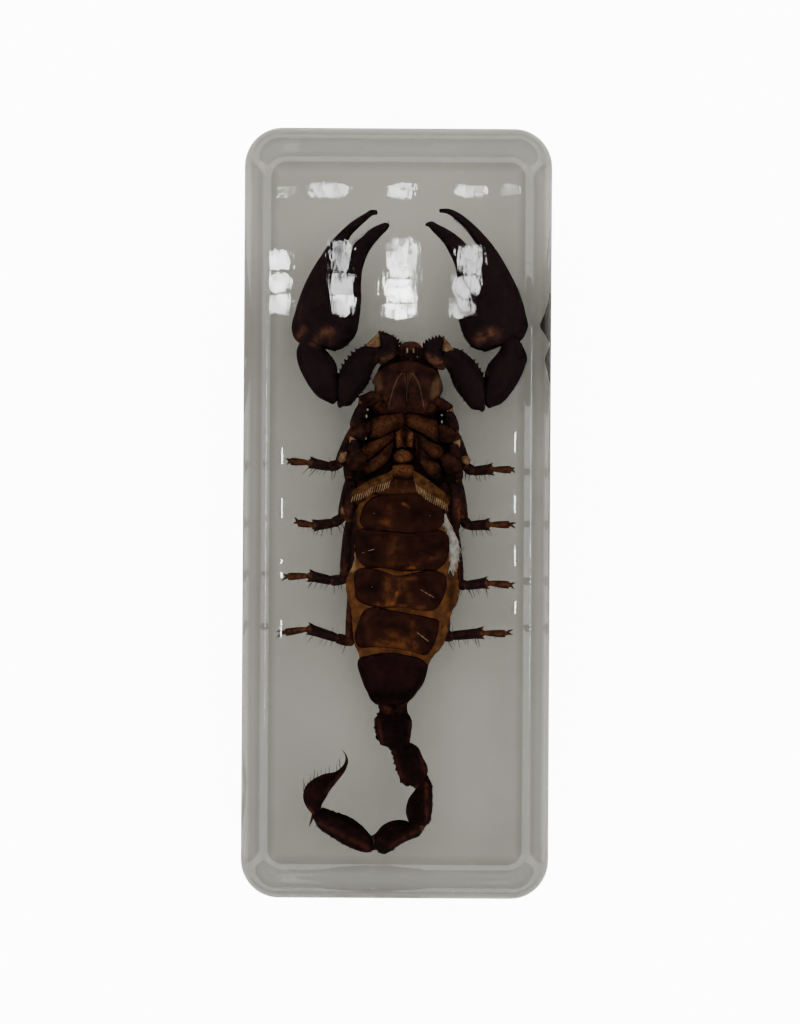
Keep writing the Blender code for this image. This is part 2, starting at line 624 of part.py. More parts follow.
def joined(name, first, helpers, collection):
    """One closed solid from the first body and every helper."""
    union = first.modifiers.new("union", "BOOLEAN")
    union.operation = "UNION"
    union.solver = "EXACT"
    union.operand_type = "COLLECTION"
    union.collection = helpers
    solid = new_object(name, evaluated_mesh(first, name), collection)
    for helper in [*helpers.objects, first]:
        bpy.data.objects.remove(helper, do_unlink=True)
    bpy.data.collections.remove(helpers)
    return solid


def make_scorpion(collection):
    trunk = loft(TRUNK, 14, collection)
    helpers = new_collection("scorpion_bodies")
    for make in (make_head, make_arms, make_legs, make_pectines, make_tail):
        make(helpers)
    return joined("scorpion", trunk, helpers, collection)


def make_whole_pocket(collection):
    trunk = loft(POCKET_TRUNK, 10, collection, CLEARANCE)
    helpers = new_collection("pocket_bodies")
    make_pocket(helpers)
    return joined("pocket", trunk, helpers, collection)


def rounded_block(collection):
    """The whole block: a rounded outline, extruded, with the same fillet round its top and its bottom."""
    inner = CORNER_RADIUS - EDGE_FILLET
    reach_x = BLOCK_WIDTH / 2 - CORNER_RADIUS
    reach_y = BLOCK_LENGTH / 2 - CORNER_RADIUS
    outline = []
    for quarter, (sx, sy) in enumerate(((1, 1), (-1, 1), (-1, -1), (1, -1))):
        for step in range(CORNER_STEPS + 1):
            angle = math.pi / 2 * (quarter + step / CORNER_STEPS)
            outline.append((sx * reach_x + inner * math.cos(angle), sy * reach_y + inner * math.sin(angle)))
    data = bpy.data.curves.new("block", "CURVE")
    data.dimensions = "2D"
    data.fill_mode = "BOTH"
    data.extrude = (BLOCK_HEIGHT / 2 - EDGE_FILLET) * MM
    data.bevel_depth = EDGE_FILLET * MM
    data.bevel_resolution = FILLET_RESOLUTION
    spline = data.splines.new("POLY")
    spline.use_cyclic_u = True
    spline.points.add(len(outline) - 1)
    for point, (x, y) in zip(spline.points, outline):
        point.co = (x * MM, y * MM, 0.0, 1.0)
    curve = new_object("block", data, collection)
    curve.location.z = MID * MM
    bpy.context.view_layer.update()
    return curve_to_mesh(curve, "block", collection)


def half_box(name, low, high, collection):
    """The space between two heights, wider than the block."""
    bpy.ops.mesh.primitive_cube_add(size=1.0)
    box = bpy.context.object
    box.name = name
    box.scale = (2 * BLOCK_WIDTH * MM, 2 * BLOCK_LENGTH * MM, (high - low) * MM)
    box.location.z = (low + high) / 2 * MM
    bpy.ops.object.transform_apply(location=True, rotation=True, scale=True)
    for holder in list(box.users_collection):
        holder.objects.unlink(box)
    collection.objects.link(box)
    return box


def boolean(obj, name, operation, other):
    cut = obj.modifiers.new(name, "BOOLEAN")
    cut.operation = operation
    cut.solver = "EXACT"
    cut.object = other


def hide_helper(obj):
    obj.hide_render = True
    obj.display_type = "WIRE"


def shade(obj, made):
    obj.data.materials.clear()
    obj.data.materials.append(made)
    obj.data.shade_smooth()
    obj.data.set_sharp_from_angle(angle=math.radians(SHARP_DEGREES))


def make_halves(parts, cutters):
    """The two halves of the resin: the block cut to its half of the height, less the pocket."""
    pocket = make_whole_pocket(cutters)
    hide_helper(pocket)
    block = rounded_block(cutters)
    hide_helper(block)
    resin = material("clear_resin", RESIN, 0.05)
    edge = PARTING_GAP / 2
    spans = {
        "resin_lower_half": (-OVERSHOOT, MID - edge),
        "resin_upper_half": (MID + edge, BLOCK_HEIGHT + OVERSHOOT),
    }
    for name, (low, high) in spans.items():
        half = new_object(name, block.data.copy(), parts)
        half.matrix_world = block.matrix_world
        shade(half, resin)
        slab = half_box(name + "_span", low, high, cutters)
        hide_helper(slab)
        boolean(half, "keep_half", "INTERSECT", slab)
        boolean(half, "cut_pocket", "DIFFERENCE", pocket)


def main():
    for obj in list(bpy.data.objects):
        bpy.data.objects.remove(obj, do_unlink=True)
    parts = new_collection("scorpion_in_resin_block")
    cutters = new_collection("cutters")
    shade(make_scorpion(parts), material("chitin", CHITIN, 0.3))
    make_halves(parts, cutters)


main()
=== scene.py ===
"""Dresses a dark forest scorpion, cast belly up in a clear resin block, for a studio picture."""

import math

import bmesh
import bpy
import numpy as np
from bpy.props import FloatProperty, FloatVectorProperty, IntProperty, PointerProperty
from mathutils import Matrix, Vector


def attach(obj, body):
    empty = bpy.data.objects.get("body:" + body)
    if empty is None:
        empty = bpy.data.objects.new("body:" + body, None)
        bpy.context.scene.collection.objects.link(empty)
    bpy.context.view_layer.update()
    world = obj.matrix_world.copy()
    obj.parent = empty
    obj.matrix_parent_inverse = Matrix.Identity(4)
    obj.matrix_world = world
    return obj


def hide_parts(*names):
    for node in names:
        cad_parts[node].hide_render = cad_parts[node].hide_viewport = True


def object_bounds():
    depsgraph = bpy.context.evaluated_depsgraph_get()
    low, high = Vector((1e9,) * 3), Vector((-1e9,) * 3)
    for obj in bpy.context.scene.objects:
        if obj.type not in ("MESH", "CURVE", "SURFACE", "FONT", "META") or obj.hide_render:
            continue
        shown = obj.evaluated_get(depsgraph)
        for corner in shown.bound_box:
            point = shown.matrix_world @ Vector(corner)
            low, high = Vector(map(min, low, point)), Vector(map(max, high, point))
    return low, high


bl_info = {
    "name": "Scorpion in Resin Block",
    "version": (1, 0, 0),
    "blender": (4, 5, 0),
    "location": "View3D > Sidebar > Scorpion",
    "description": "Builds a scorpion cast in a clear resin block, with its studio",
    "category": "Add Mesh",
}

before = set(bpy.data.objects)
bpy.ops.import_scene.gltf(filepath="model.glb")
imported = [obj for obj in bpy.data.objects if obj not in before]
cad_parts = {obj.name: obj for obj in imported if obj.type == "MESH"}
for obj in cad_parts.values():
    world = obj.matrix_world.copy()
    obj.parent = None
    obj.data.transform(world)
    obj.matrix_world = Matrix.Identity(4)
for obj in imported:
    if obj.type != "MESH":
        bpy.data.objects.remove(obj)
CAD_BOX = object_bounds()
BLOCK_WIDTH, BLOCK_LENGTH, BLOCK_HEIGHT = (round(high - low, 6) for low, high in zip(*CAD_BOX))

MM = 0.001  # shape tables are in millimetres
MID = 12.5  # height of the casting's middle, where arms, feet and tail lie
BODY_PART = "root"
LAST_PLATE = "sternite_7"
WHITE = (1.0, 1.0, 1.0, 1.0)

# ---------------------------------------------------------------------------------------------------------
# Shape tables. A rib is a cross-section: left edge and right edge in plan, height of its middle, and how far
# it rises and falls from there. Plan positions are from the block's centre, claws towards +Y.

BODY = [
    (-1.9, 31.4, 6.6, 31.2, 12.0, 2.6, 2.6), (-4.1, 27.5, 8.3, 27.3, 12.0, 3.3, 3.6),
    (-4.5, 23.5, 8.5, 23.3, 12.0, 3.6, 4.2), (-4.9, 19.5, 8.4, 19.3, 12.0, 3.6, 4.4),
    (-5.6, 15.5, 8.8, 15.3, 12.0, 3.5, 4.5), (-6.2, 11.5, 9.3, 11.3, 12.0, 3.6, 4.5),
    (-6.7, 7.5, 9.6, 7.3, 12.0, 3.8, 4.5), (-7.4, 4.2, 9.8, 4.0, 12.0, 3.9, 4.4),
    (-7.2, 3.3, 9.6, 3.1, 12.0, 3.6, 4.1), (-7.8, 2.2, 10.2, 2.0, 12.0, 4.1, 4.5),
    (-8.2, -3.0, 11.2, -3.2, 12.0, 4.2, 4.5), (-8.1, -3.7, 11.4, -3.9, 12.0, 3.8, 4.1),
    (-8.3, -4.6, 11.8, -4.8, 12.0, 4.2, 4.5), (-8.6, -10.3, 12.2, -10.4, 12.0, 4.2, 4.5),
    (-9.0, -11.2, 12.1, -11.3, 12.0, 3.8, 4.1), (-9.6, -12.4, 12.2, -12.6, 12.0, 4.2, 4.5),
    (-9.3, -17.6, 12.0, -17.7, 12.0, 4.2, 4.5), (-8.8, -19.1, 11.0, -19.4, 12.0, 3.8, 4.1),
    (-8.7, -20.2, 10.7, -20.6, 12.1, 4.0, 4.3), (-8.0, -26.2, 9.0, -26.4, 12.1, 3.9, 4.1),
    (-7.2, -28.0, 7.2, -28.4, 12.2, 3.4, 3.6), (-7.1, -29.6, 6.5, -29.8, 12.3, 3.6, 3.8),
    (-6.5, -33.2, 5.6, -33.2, 12.4, 3.5, 3.6), (-4.3, -37.2, 2.4, -37.4, 12.5, 2.9, 2.9),
]

# Belly plates, from the pectines back, and the edges that each one's outline passes through.
STERNITES = {
    "sternite_3": [
        (-4.7, 2.9), (-6.1, 1.5), (-6.7, -0.1), (-6.9, -1.8), (-5.8, -3.0), (-2.3, -3.4), (2.6, -3.8),
        (6.8, -3.5), (8.5, -2.5), (9.3, -1.2), (9.4, 0.1), (8.8, 1.4), (7.2, 2.9), (3.6, 3.7), (-1.6, 3.7),
    ],
    "sternite_4": [
        (-6.8, -3.2), (-7.8, -4.0), (-8.0, -6.4), (-7.2, -9.3), (-5.9, -10.4), (-2.3, -10.7), (0.9, -11.2),
        (4.2, -11.1), (8.0, -10.8), (9.4, -9.5), (10.1, -6.6), (9.8, -4.5), (8.6, -3.4), (2.6, -4.0),
        (-2.3, -3.6),
    ],
    "sternite_5": [
        (-6.2, -10.8), (-7.8, -11.6), (-7.9, -14.2), (-7.4, -16.9), (-5.9, -17.8), (-2.3, -18.4),
        (1.5, -18.3), (4.8, -18.9), (7.4, -18.7), (9.0, -16.4), (9.6, -14.3), (9.5, -12.4), (7.4, -11.2),
        (3.5, -11.7), (0.3, -12.3), (-3.0, -11.3),
    ],
    "sternite_6": [
        (-4.3, -18.5), (-5.9, -19.1), (-7.2, -21.7), (-7.8, -24.6), (-7.3, -26.0), (-4.0, -26.1),
        (-0.8, -26.3), (2.5, -26.8), (6.0, -27.5), (7.1, -26.0), (8.1, -22.8), (8.2, -21.1), (6.1, -20.4),
        (2.5, -19.7), (-1.4, -19.0),
    ],
    "sternite_7": [
        (-7.0, -28.7), (-7.3, -29.5), (-6.8, -31.8), (-5.7, -34.4), (-4.4, -36.9), (-1.0, -37.3),
        (2.4, -36.9), (4.4, -34.7), (5.9, -31.6), (6.1, -29.9), (5.1, -28.8), (2.1, -27.9), (-1.4, -27.4),
        (-5.0, -28.0),
    ],
}
# Back plates: front and rear of each, in order from the head.
TERGITES = [
    (11.0, 7.6), (7.9, 3.6), (3.9, -3.4), (-3.0, -11.0), (-10.6, -19.0), (-18.6, -27.6), (-27.2, -37.4),
]

LEFT_FEMUR = [
    (-4.3, 33.7, -3.2, 30.4, 12.5, 1.9, 1.9), (-7.5, 32.5, -4.7, 28.4, 12.5, 2.8, 2.8),
    (-9.9, 30.3, -5.9, 25.4, 12.5, 3.0, 3.0), (-11.5, 27.6, -7.8, 23.0, 12.5, 3.0, 3.0),
    (-12.1, 24.6, -9.4, 21.2, 12.5, 2.7, 2.7), (-11.8, 22.0, -10.8, 21.0, 12.5, 1.8, 1.8),
]
LEFT_PATELLA = [
    (-13.0, 21.5, -11.4, 24.0, 12.5, 2.3, 2.3), (-15.6, 22.9, -11.8, 26.9, 12.5, 2.9, 2.9),
    (-18.1, 26.2, -11.9, 28.8, 12.6, 3.2, 3.2), (-19.6, 29.5, -12.9, 30.7, 12.8, 3.2, 3.2),
    (-19.8, 32.1, -14.6, 32.8, 13.2, 2.8, 3.0), (-18.5, 34.6, -15.3, 34.6, 13.8, 2.3, 2.6),
    (-17.2, 36.0, -15.7, 36.0, 14.2, 1.6, 2.0),
]
LEFT_HAND = [
    (-15.6, 33.0, -12.2, 32.0, 12.4, 2.3, 2.3), (-19.9, 33.9, -10.2, 33.0, 12.4, 3.4, 3.5),
    (-20.9, 36.2, -8.3, 35.3, 12.4, 4.0, 4.3), (-20.2, 39.6, -7.5, 39.2, 12.4, 4.3, 4.6),
    (-18.8, 44.0, -7.3, 43.6, 12.4, 4.2, 4.4), (-16.9, 47.9, -7.7, 46.8, 12.4, 3.7, 3.9),
    (-15.2, 50.6, -9.2, 49.3, 12.4, 3.1, 3.2), (-13.5, 53.1, -10.2, 51.9, 12.4, 2.4, 2.4),
    (-11.3, 55.5, -9.5, 54.4, 12.4, 1.8, 1.8), (-8.9, 57.6, -7.8, 56.3, 12.4, 1.3, 1.3),
    (-6.5, 59.1, -6.0, 57.9, 12.4, 0.9, 0.9), (-5.3, 59.8, -5.0, 58.7, 12.4, 0.6, 0.6),
    (-4.3, 59.7, -4.3, 58.8, 12.4, 0.4, 0.4),
]
LEFT_FINGER = [
    (-10.4, 47.6, -7.3, 45.0, 12.4, 2.4, 2.4), (-9.4, 50.6, -6.9, 48.4, 12.4, 2.3, 2.3),
    (-8.7, 53.0, -5.9, 51.2, 12.4, 2.1, 2.1), (-6.9, 54.6, -4.6, 53.2, 12.4, 1.7, 1.7),
    (-5.4, 56.0, -3.2, 54.8, 12.4, 1.4, 1.4), (-3.9, 56.8, -2.5, 55.5, 12.4, 0.9, 0.9),
    (-2.8, 57.2, -1.9, 56.2, 12.4, 0.6, 0.6), (-2.2, 57.2, -1.8, 56.5, 12.4, 0.4, 0.4),
]
RIGHT_HAND = [
    (20.5, 33.3, 16.9, 32.1, 12.4, 2.3, 2.3), (24.5, 34.4, 14.6, 33.1, 12.4, 3.4, 3.5),
    (25.5, 36.6, 12.9, 35.7, 12.4, 4.0, 4.3), (25.1, 40.0, 12.0, 39.5, 12.4, 4.3, 4.6),
    (23.8, 44.0, 11.9, 43.7, 12.4, 4.2, 4.4), (22.0, 47.6, 12.4, 46.6, 12.4, 3.7, 3.9),
    (20.2, 50.7, 14.6, 49.2, 12.4, 3.1, 3.2), (18.6, 53.0, 16.4, 51.6, 12.4, 2.4, 2.4),
    (16.5, 55.4, 14.9, 54.0, 12.4, 1.8, 1.8), (14.2, 57.6, 13.2, 56.2, 12.4, 1.4, 1.4),
    (11.9, 59.3, 11.3, 58.0, 12.4, 0.9, 0.9), (9.9, 60.1, 9.6, 59.1, 12.4, 0.5, 0.5),
    (8.3, 60.1, 8.3, 59.3, 12.4, 0.4, 0.4),
]
RIGHT_FINGER = [
    (15.6, 47.8, 11.9, 45.2, 12.4, 2.4, 2.4), (14.7, 50.9, 11.2, 48.9, 12.4, 2.3, 2.3),
    (13.4, 53.1, 9.9, 51.8, 12.4, 2.0, 2.0), (11.6, 54.8, 8.8, 53.5, 12.4, 1.7, 1.7),
    (9.6, 56.1, 7.6, 54.8, 12.4, 1.3, 1.3), (7.8, 57.0, 6.6, 55.8, 12.4, 0.9, 0.9),
    (6.6, 57.6, 6.0, 56.5, 12.4, 0.5, 0.5), (5.8, 57.4, 5.4, 56.7, 12.4, 0.4, 0.4),
]
TROCHANTERS = {
    "left_trochanter": [
        (-3.5, 35.7), (-2.3, 35.5), (-1.1, 35.0), (-0.1, 34.1), (0.3, 33.0), (0.5, 31.6), (-0.1, 30.7),
        (-1.4, 29.8), (-3.5, 29.3), (-4.3, 30.5), (-4.2, 31.8), (-3.5, 32.5),
    ],
    "right_trochanter": [
        (9.1, 34.6), (8.1, 34.7), (6.7, 34.3), (5.4, 33.4), (4.9, 32.6), (4.7, 31.3), (5.2, 30.2),
        (6.6, 29.0), (8.2, 28.3), (9.2, 28.3), (9.2, 30.4), (8.8, 32.0),
    ],
}
# Rows of teeth on the arms: the line they stand along, how many, the way they lean and their size.
ARM_TEETH = [
    ([(-6.2, 33.0), (-8.4, 31.7), (-10.2, 29.8), (-11.4, 27.9), (-12.0, 25.2)], 11, (-0.6, 0.8), 0.85),
    ([(-4.7, 28.6), (-5.6, 26.0), (-7.4, 23.3), (-9.2, 21.4)], 9, (0.8, -0.6), 0.6),
    ([(-13.0, 30.6), (-12.3, 29.2), (-12.0, 27.6), (-12.0, 25.0)], 9, (1.0, 0.3), 0.7),
    ([(-19.7, 31.0), (-19.2, 28.4), (-17.6, 25.4)], 7, (-1.0, 0.0), 0.3),
    ([(-10.0, 33.1), (-8.6, 35.0), (-7.7, 38.4), (-7.4, 41.6), (-7.3, 44.6)], 22, (1.0, -0.1), 0.6),
    ([(-20.2, 34.4), (-20.9, 36.6), (-20.2, 40.0), (-18.8, 44.0)], 16, (-1.0, 0.1), 0.3),
    ([(-3.6, 35.6), (-2.6, 35.6), (-1.7, 34.8), (-0.4, 34.5), (0.5, 33.4)], 8, (0.5, 1.0), 0.9),
    ([(-9.0, 53.4), (-7.6, 54.6), (-5.6, 56.0), (-3.6, 57.0), (-2.0, 57.5)], 14, (-0.5, 0.8), 0.35),
    ([(-9.8, 53.8), (-8.8, 55.3), (-7.2, 56.9), (-5.2, 58.6)], 12, (0.6, -0.8), 0.35),
    ([(11.7, 32.4), (13.9, 31.1), (15.7, 29.2), (16.9, 27.3), (17.5, 24.6)], 11, (0.6, 0.8), 0.85),
    ([(10.2, 28.0), (11.1, 25.4), (12.9, 22.7), (14.7, 20.8)], 9, (-0.8, -0.6), 0.6),
    ([(18.5, 30.0), (17.8, 28.6), (17.5, 27.0), (17.5, 24.4)], 9, (-1.0, 0.3), 0.7),
    ([(25.2, 30.4), (24.7, 27.8), (23.1, 24.8)], 7, (1.0, 0.0), 0.3),
    ([(14.6, 33.0), (13.3, 34.8), (12.4, 37.4), (12.0, 40.4), (11.9, 44.0)], 20, (-1.0, -0.1), 0.7),
    ([(24.9, 34.8), (25.5, 37.4), (25.0, 40.6), (23.8, 44.2)], 16, (1.0, 0.1), 0.3),
    ([(9.0, 34.8), (7.8, 34.6), (6.3, 34.2), (5.2, 33.3)], 7, (-0.3, 1.0), 0.9),
    ([(14.0, 52.0), (12.6, 53.6), (10.6, 55.0), (8.4, 56.4), (6.4, 57.2)], 14, (0.5, 0.8), 0.35),
    ([(15.6, 52.6), (14.6, 54.0), (13.0, 55.8), (11.0, 57.8)], 12, (-0.6, -0.8), 0.35),
]
WEDGES = {
    "left_arm_skin": [(-3.5, 35.6), (-3.5, 32.5), (-4.2, 31.7), (-6.3, 32.8), (-5.2, 34.2)],
    "right_arm_skin": [(9.0, 34.6), (8.8, 32.0), (9.2, 31.1), (11.6, 31.4), (10.6, 33.0)],
}

# Tail rings: the edge that each side passes along, and half its depth at the near end, middle and far end.
TAIL_RINGS = {
    "tail_ring_1": ([
        (-3.5, -37.3), (-3.1, -39.1), (-3.9, -40.4), (-4.0, -42.1), (-3.4, -44.5), (-2.8, -45.5),
        (-1.6, -46.0),
    ], [
        (2.3, -37.5), (2.4, -39.1), (3.2, -40.6), (3.2, -42.9), (2.9, -45.0),
    ], (2.4, 3.1, 2.8)),
    "tail_ring_2": ([
        (-1.4, -45.8), (-0.6, -47.2), (0.0, -49.3), (0.7, -51.5), (1.5, -53.2), (3.3, -53.6),
    ], [
        (3.0, -45.2), (4.4, -46.0), (5.4, -47.9), (6.5, -50.7), (6.3, -51.6),
    ], (2.4, 3.0, 2.8)),
    "tail_ring_3": ([
        (4.2, -53.3), (4.1, -54.2), (2.8, -56.1), (2.2, -59.0), (2.9, -61.1),
    ], [
        (6.4, -51.7), (7.1, -53.3), (7.4, -56.2), (7.2, -59.4), (6.8, -61.0),
    ], (2.3, 2.8, 2.6)),
    "tail_ring_4": ([
        (3.3, -61.2), (2.3, -60.7), (0.3, -60.5), (-2.2, -61.4), (-3.9, -63.3),
    ], [
        (5.6, -61.5), (5.5, -62.4), (1.7, -64.8), (-2.9, -66.8), (-3.6, -66.1),
    ], (2.2, 2.8, 2.6)),
    "tail_ring_5": ([
        (-4.6, -63.7), (-6.1, -62.0), (-9.0, -59.9), (-12.6, -58.7), (-13.9, -58.2), (-14.9, -58.3),
    ], [
        (-3.8, -66.2), (-5.1, -66.7), (-9.0, -65.7), (-12.6, -63.6), (-15.4, -61.4), (-16.1, -59.6),
    ], (2.4, 2.8, 1.8)),
}
# Which edges of a ring, left (0) or right (1), carry small teeth.
ROUGH_EDGES = {
    "tail_ring_1": (0,),
    "tail_ring_2": (0,),
    "tail_ring_3": (1,),
    "tail_ring_4": (1,),
    "tail_ring_5": (0, 1),
}
# Lines that single long bristles stand along, on the arms, jaws and trunk.
BRISTLE_LINES = [
    [(-1.0, 35.0), (1.2, 33.2), (3.8, 33.4), (5.6, 33.8)],
    [(-14.6, 33.4), (-12.6, 33.2)],
    [(17.6, 33.2), (19.8, 33.4)],
    [(9.8, -25.6), (10.6, -20.4)],
    [(12.6, -4.0), (12.6, -10.0)],
    [(-16.8, -61.0), (-13.0, -63.4), (-8.0, -66.0)],
]
TAIL_JOINTS = [
    ((-3.3, -36.6, 2.2, -36.8), (-2.9, -38.6, 2.1, -38.8), 2.3),
    ((-1.6, -45.2, 2.7, -44.6), (-1.0, -46.6, 2.9, -46.0), 2.2),
    ((2.4, -53.0, 6.3, -51.2), (4.0, -54.2, 6.7, -53.0), 2.1),
    ((2.9, -60.4, 6.8, -60.6), (2.4, -61.8, 5.6, -62.4), 2.2),
    ((-3.4, -62.9, -2.4, -66.4), (-4.9, -63.8, -4.2, -66.4), 2.1),
    ((-14.2, -58.4, -15.5, -60.6), (-14.8, -57.7, -16.5, -59.0), 1.4),
]
STING = ([
    (-15.9, -59.5), (-17.1, -58.4), (-18.0, -56.5), (-18.0, -54.9), (-17.0, -53.2), (-15.4, -52.1),
    (-13.8, -51.4), (-12.2, -51.2), (-10.8, -50.3), (-9.9, -49.1), (-9.75, -48.1), (-10.35, -46.8),
], [
    (-14.4, -57.5), (-13.9, -56.7), (-13.3, -55.7), (-12.8, -54.7), (-12.0, -53.7), (-11.2, -52.7),
    (-10.5, -51.8), (-9.9, -51.0), (-9.5, -50.1), (-9.25, -49.1), (-9.35, -48.1), (-10.25, -46.8),
], (1.5, 2.3, 2.5, 2.3, 1.9, 1.4, 1.0, 0.7, 0.5, 0.35, 0.25, 0.1))

# Leg joints, from the trochanter's outer end to the end of the tarsus, then the tips of the two claws.
LEGS = {
    "left_leg_1": [
        (-6.6, 21.4), (-8.4, 16.9), (-11.4, 9.6), (-13.2, 9.1), (-17.1, 9.9), (-20.9, 10.1), (-21.9, 10.6),
        (-21.7, 9.4),
    ],
    "left_leg_2": [
        (-8.2, 14.6), (-9.2, 7.2), (-10.7, -0.9), (-12.4, -2.0), (-16.3, -2.5), (-19.3, -2.0),
        (-20.1, -0.9), (-20.3, -2.1),
    ],
    "left_leg_3": [
        (-8.8, 6.6), (-9.3, -1.2), (-10.2, -13.1), (-12.7, -13.4), (-17.1, -12.4), (-21.3, -12.6),
        (-22.3, -12.2), (-22.5, -13.5),
    ],
    "left_leg_4": [
        (-7.2, 2.4), (-8.4, -13.1), (-9.0, -25.5), (-11.6, -24.7), (-17.2, -22.9), (-21.8, -23.6),
        (-23.5, -23.4), (-23.5, -24.6),
    ],
    "right_leg_1": [
        (10.0, 20.0), (11.3, 16.1), (13.7, 9.2), (15.0, 8.4), (18.8, 8.8), (22.5, 8.7), (23.3, 9.1),
        (23.3, 8.1),
    ],
    "right_leg_2": [
        (11.2, 13.9), (12.1, 6.7), (13.2, -1.2), (14.2, -2.4), (18.2, -2.1), (22.2, -2.1), (23.6, -1.8),
        (23.4, -2.8),
    ],
    "right_leg_3": [
        (11.3, 6.0), (11.5, -3.1), (12.4, -13.8), (13.6, -14.2), (17.9, -13.6), (22.3, -14.0),
        (23.5, -13.6), (23.3, -14.8),
    ],
    "right_leg_4": [
        (9.0, 1.4), (9.5, -12.2), (9.7, -24.4), (11.1, -24.1), (17.1, -23.5), (21.6, -23.6), (23.1, -22.8),
        (23.0, -23.8),
    ],
}
# Heights of a leg's first four joints, by its number from the front, and then those of every leg's foot.
LEG_HEIGHTS = {
    "1": (14.2, 12.6, 11.6, 11.8), "2": (14.0, 11.2, 11.4, 11.7), "3": (13.6, 11.8, 11.6, 11.8),
    "4": (12.8, 11.0, 11.4, 11.7),
}
FOOT_HEIGHTS = (12.2, 12.5, 12.3, 12.3)
# A leg's parts in turn: half width in plan, half height, and the swell from its near end to its far end.
LEG_PARTS = [
    (1.25, 1.9, (0.72, 0.95, 1.0, 0.98, 0.86)),
    (1.1, 1.5, (0.72, 0.95, 1.0, 0.98, 0.86)),
    (1.05, 1.25, (0.85, 0.97, 1.0, 1.0, 0.95)),
    (1.0, 1.1, (0.88, 0.96, 1.0, 1.04, 1.2)),
    (0.74, 0.75, (0.6, 0.8, 0.92, 1.0, 0.98)),
]
LEG_AMBER = [
    (-9.4, 1.4, -10.2, -0.4, 1.2, 0.45), (12.0, 2.2, 12.6, -0.6, 1.3, 0.55),
    (-9.6, -18.0, -9.4, -25.0, 0.8, 0.35), (-9.9, -10.4, -10.2, -12.4, 0.9, 0.3),
    (-9.0, 17.4, -9.6, 15.2, 0.9, 0.3),
]
LEG_PALE = [
    (-10.9, 11.6, -10.9, 10.7, 0.5, 0.6), (-10.7, 0.9, -10.7, 0.1, 0.45, 0.55),
    (-11.1, -10.9, -11.3, -11.7, 0.42, 0.5), (13.3, 10.9, 13.4, 10.2, 0.4, 0.25),
]

# Plates under the head and chest: outline, how far each stands up, and the strokes cut into it.
HEAD_PLATES = {
    "mouth_shield": ([
        (0.6, 29.8), (-1.5, 29.1), (-3.1, 28.6), (-4.0, 27.8), (-4.6, 26.7), (-5.0, 25.7), (-4.4, 25.0),
        (-4.4, 23.7), (-3.5, 22.9), (-2.3, 21.4), (-2.1, 19.7), (-0.2, 19.4), (1.6, 19.5), (3.7, 19.4),
        (6.1, 19.5), (6.4, 21.0), (7.5, 22.2), (8.5, 23.2), (9.0, 24.3), (8.7, 26.2), (7.9, 28.0),
        (6.4, 28.7), (4.7, 29.3), (3.2, 29.9), (1.9, 30.0),
    ], 1.5),
    "jaw_dome": ([
        (0.2, 32.5), (1.1, 33.4), (2.7, 33.8), (4.1, 33.4), (4.9, 32.5), (4.7, 30.6), (3.8, 30.0),
        (1.3, 30.0), (0.4, 30.8),
    ], 2.2),
}
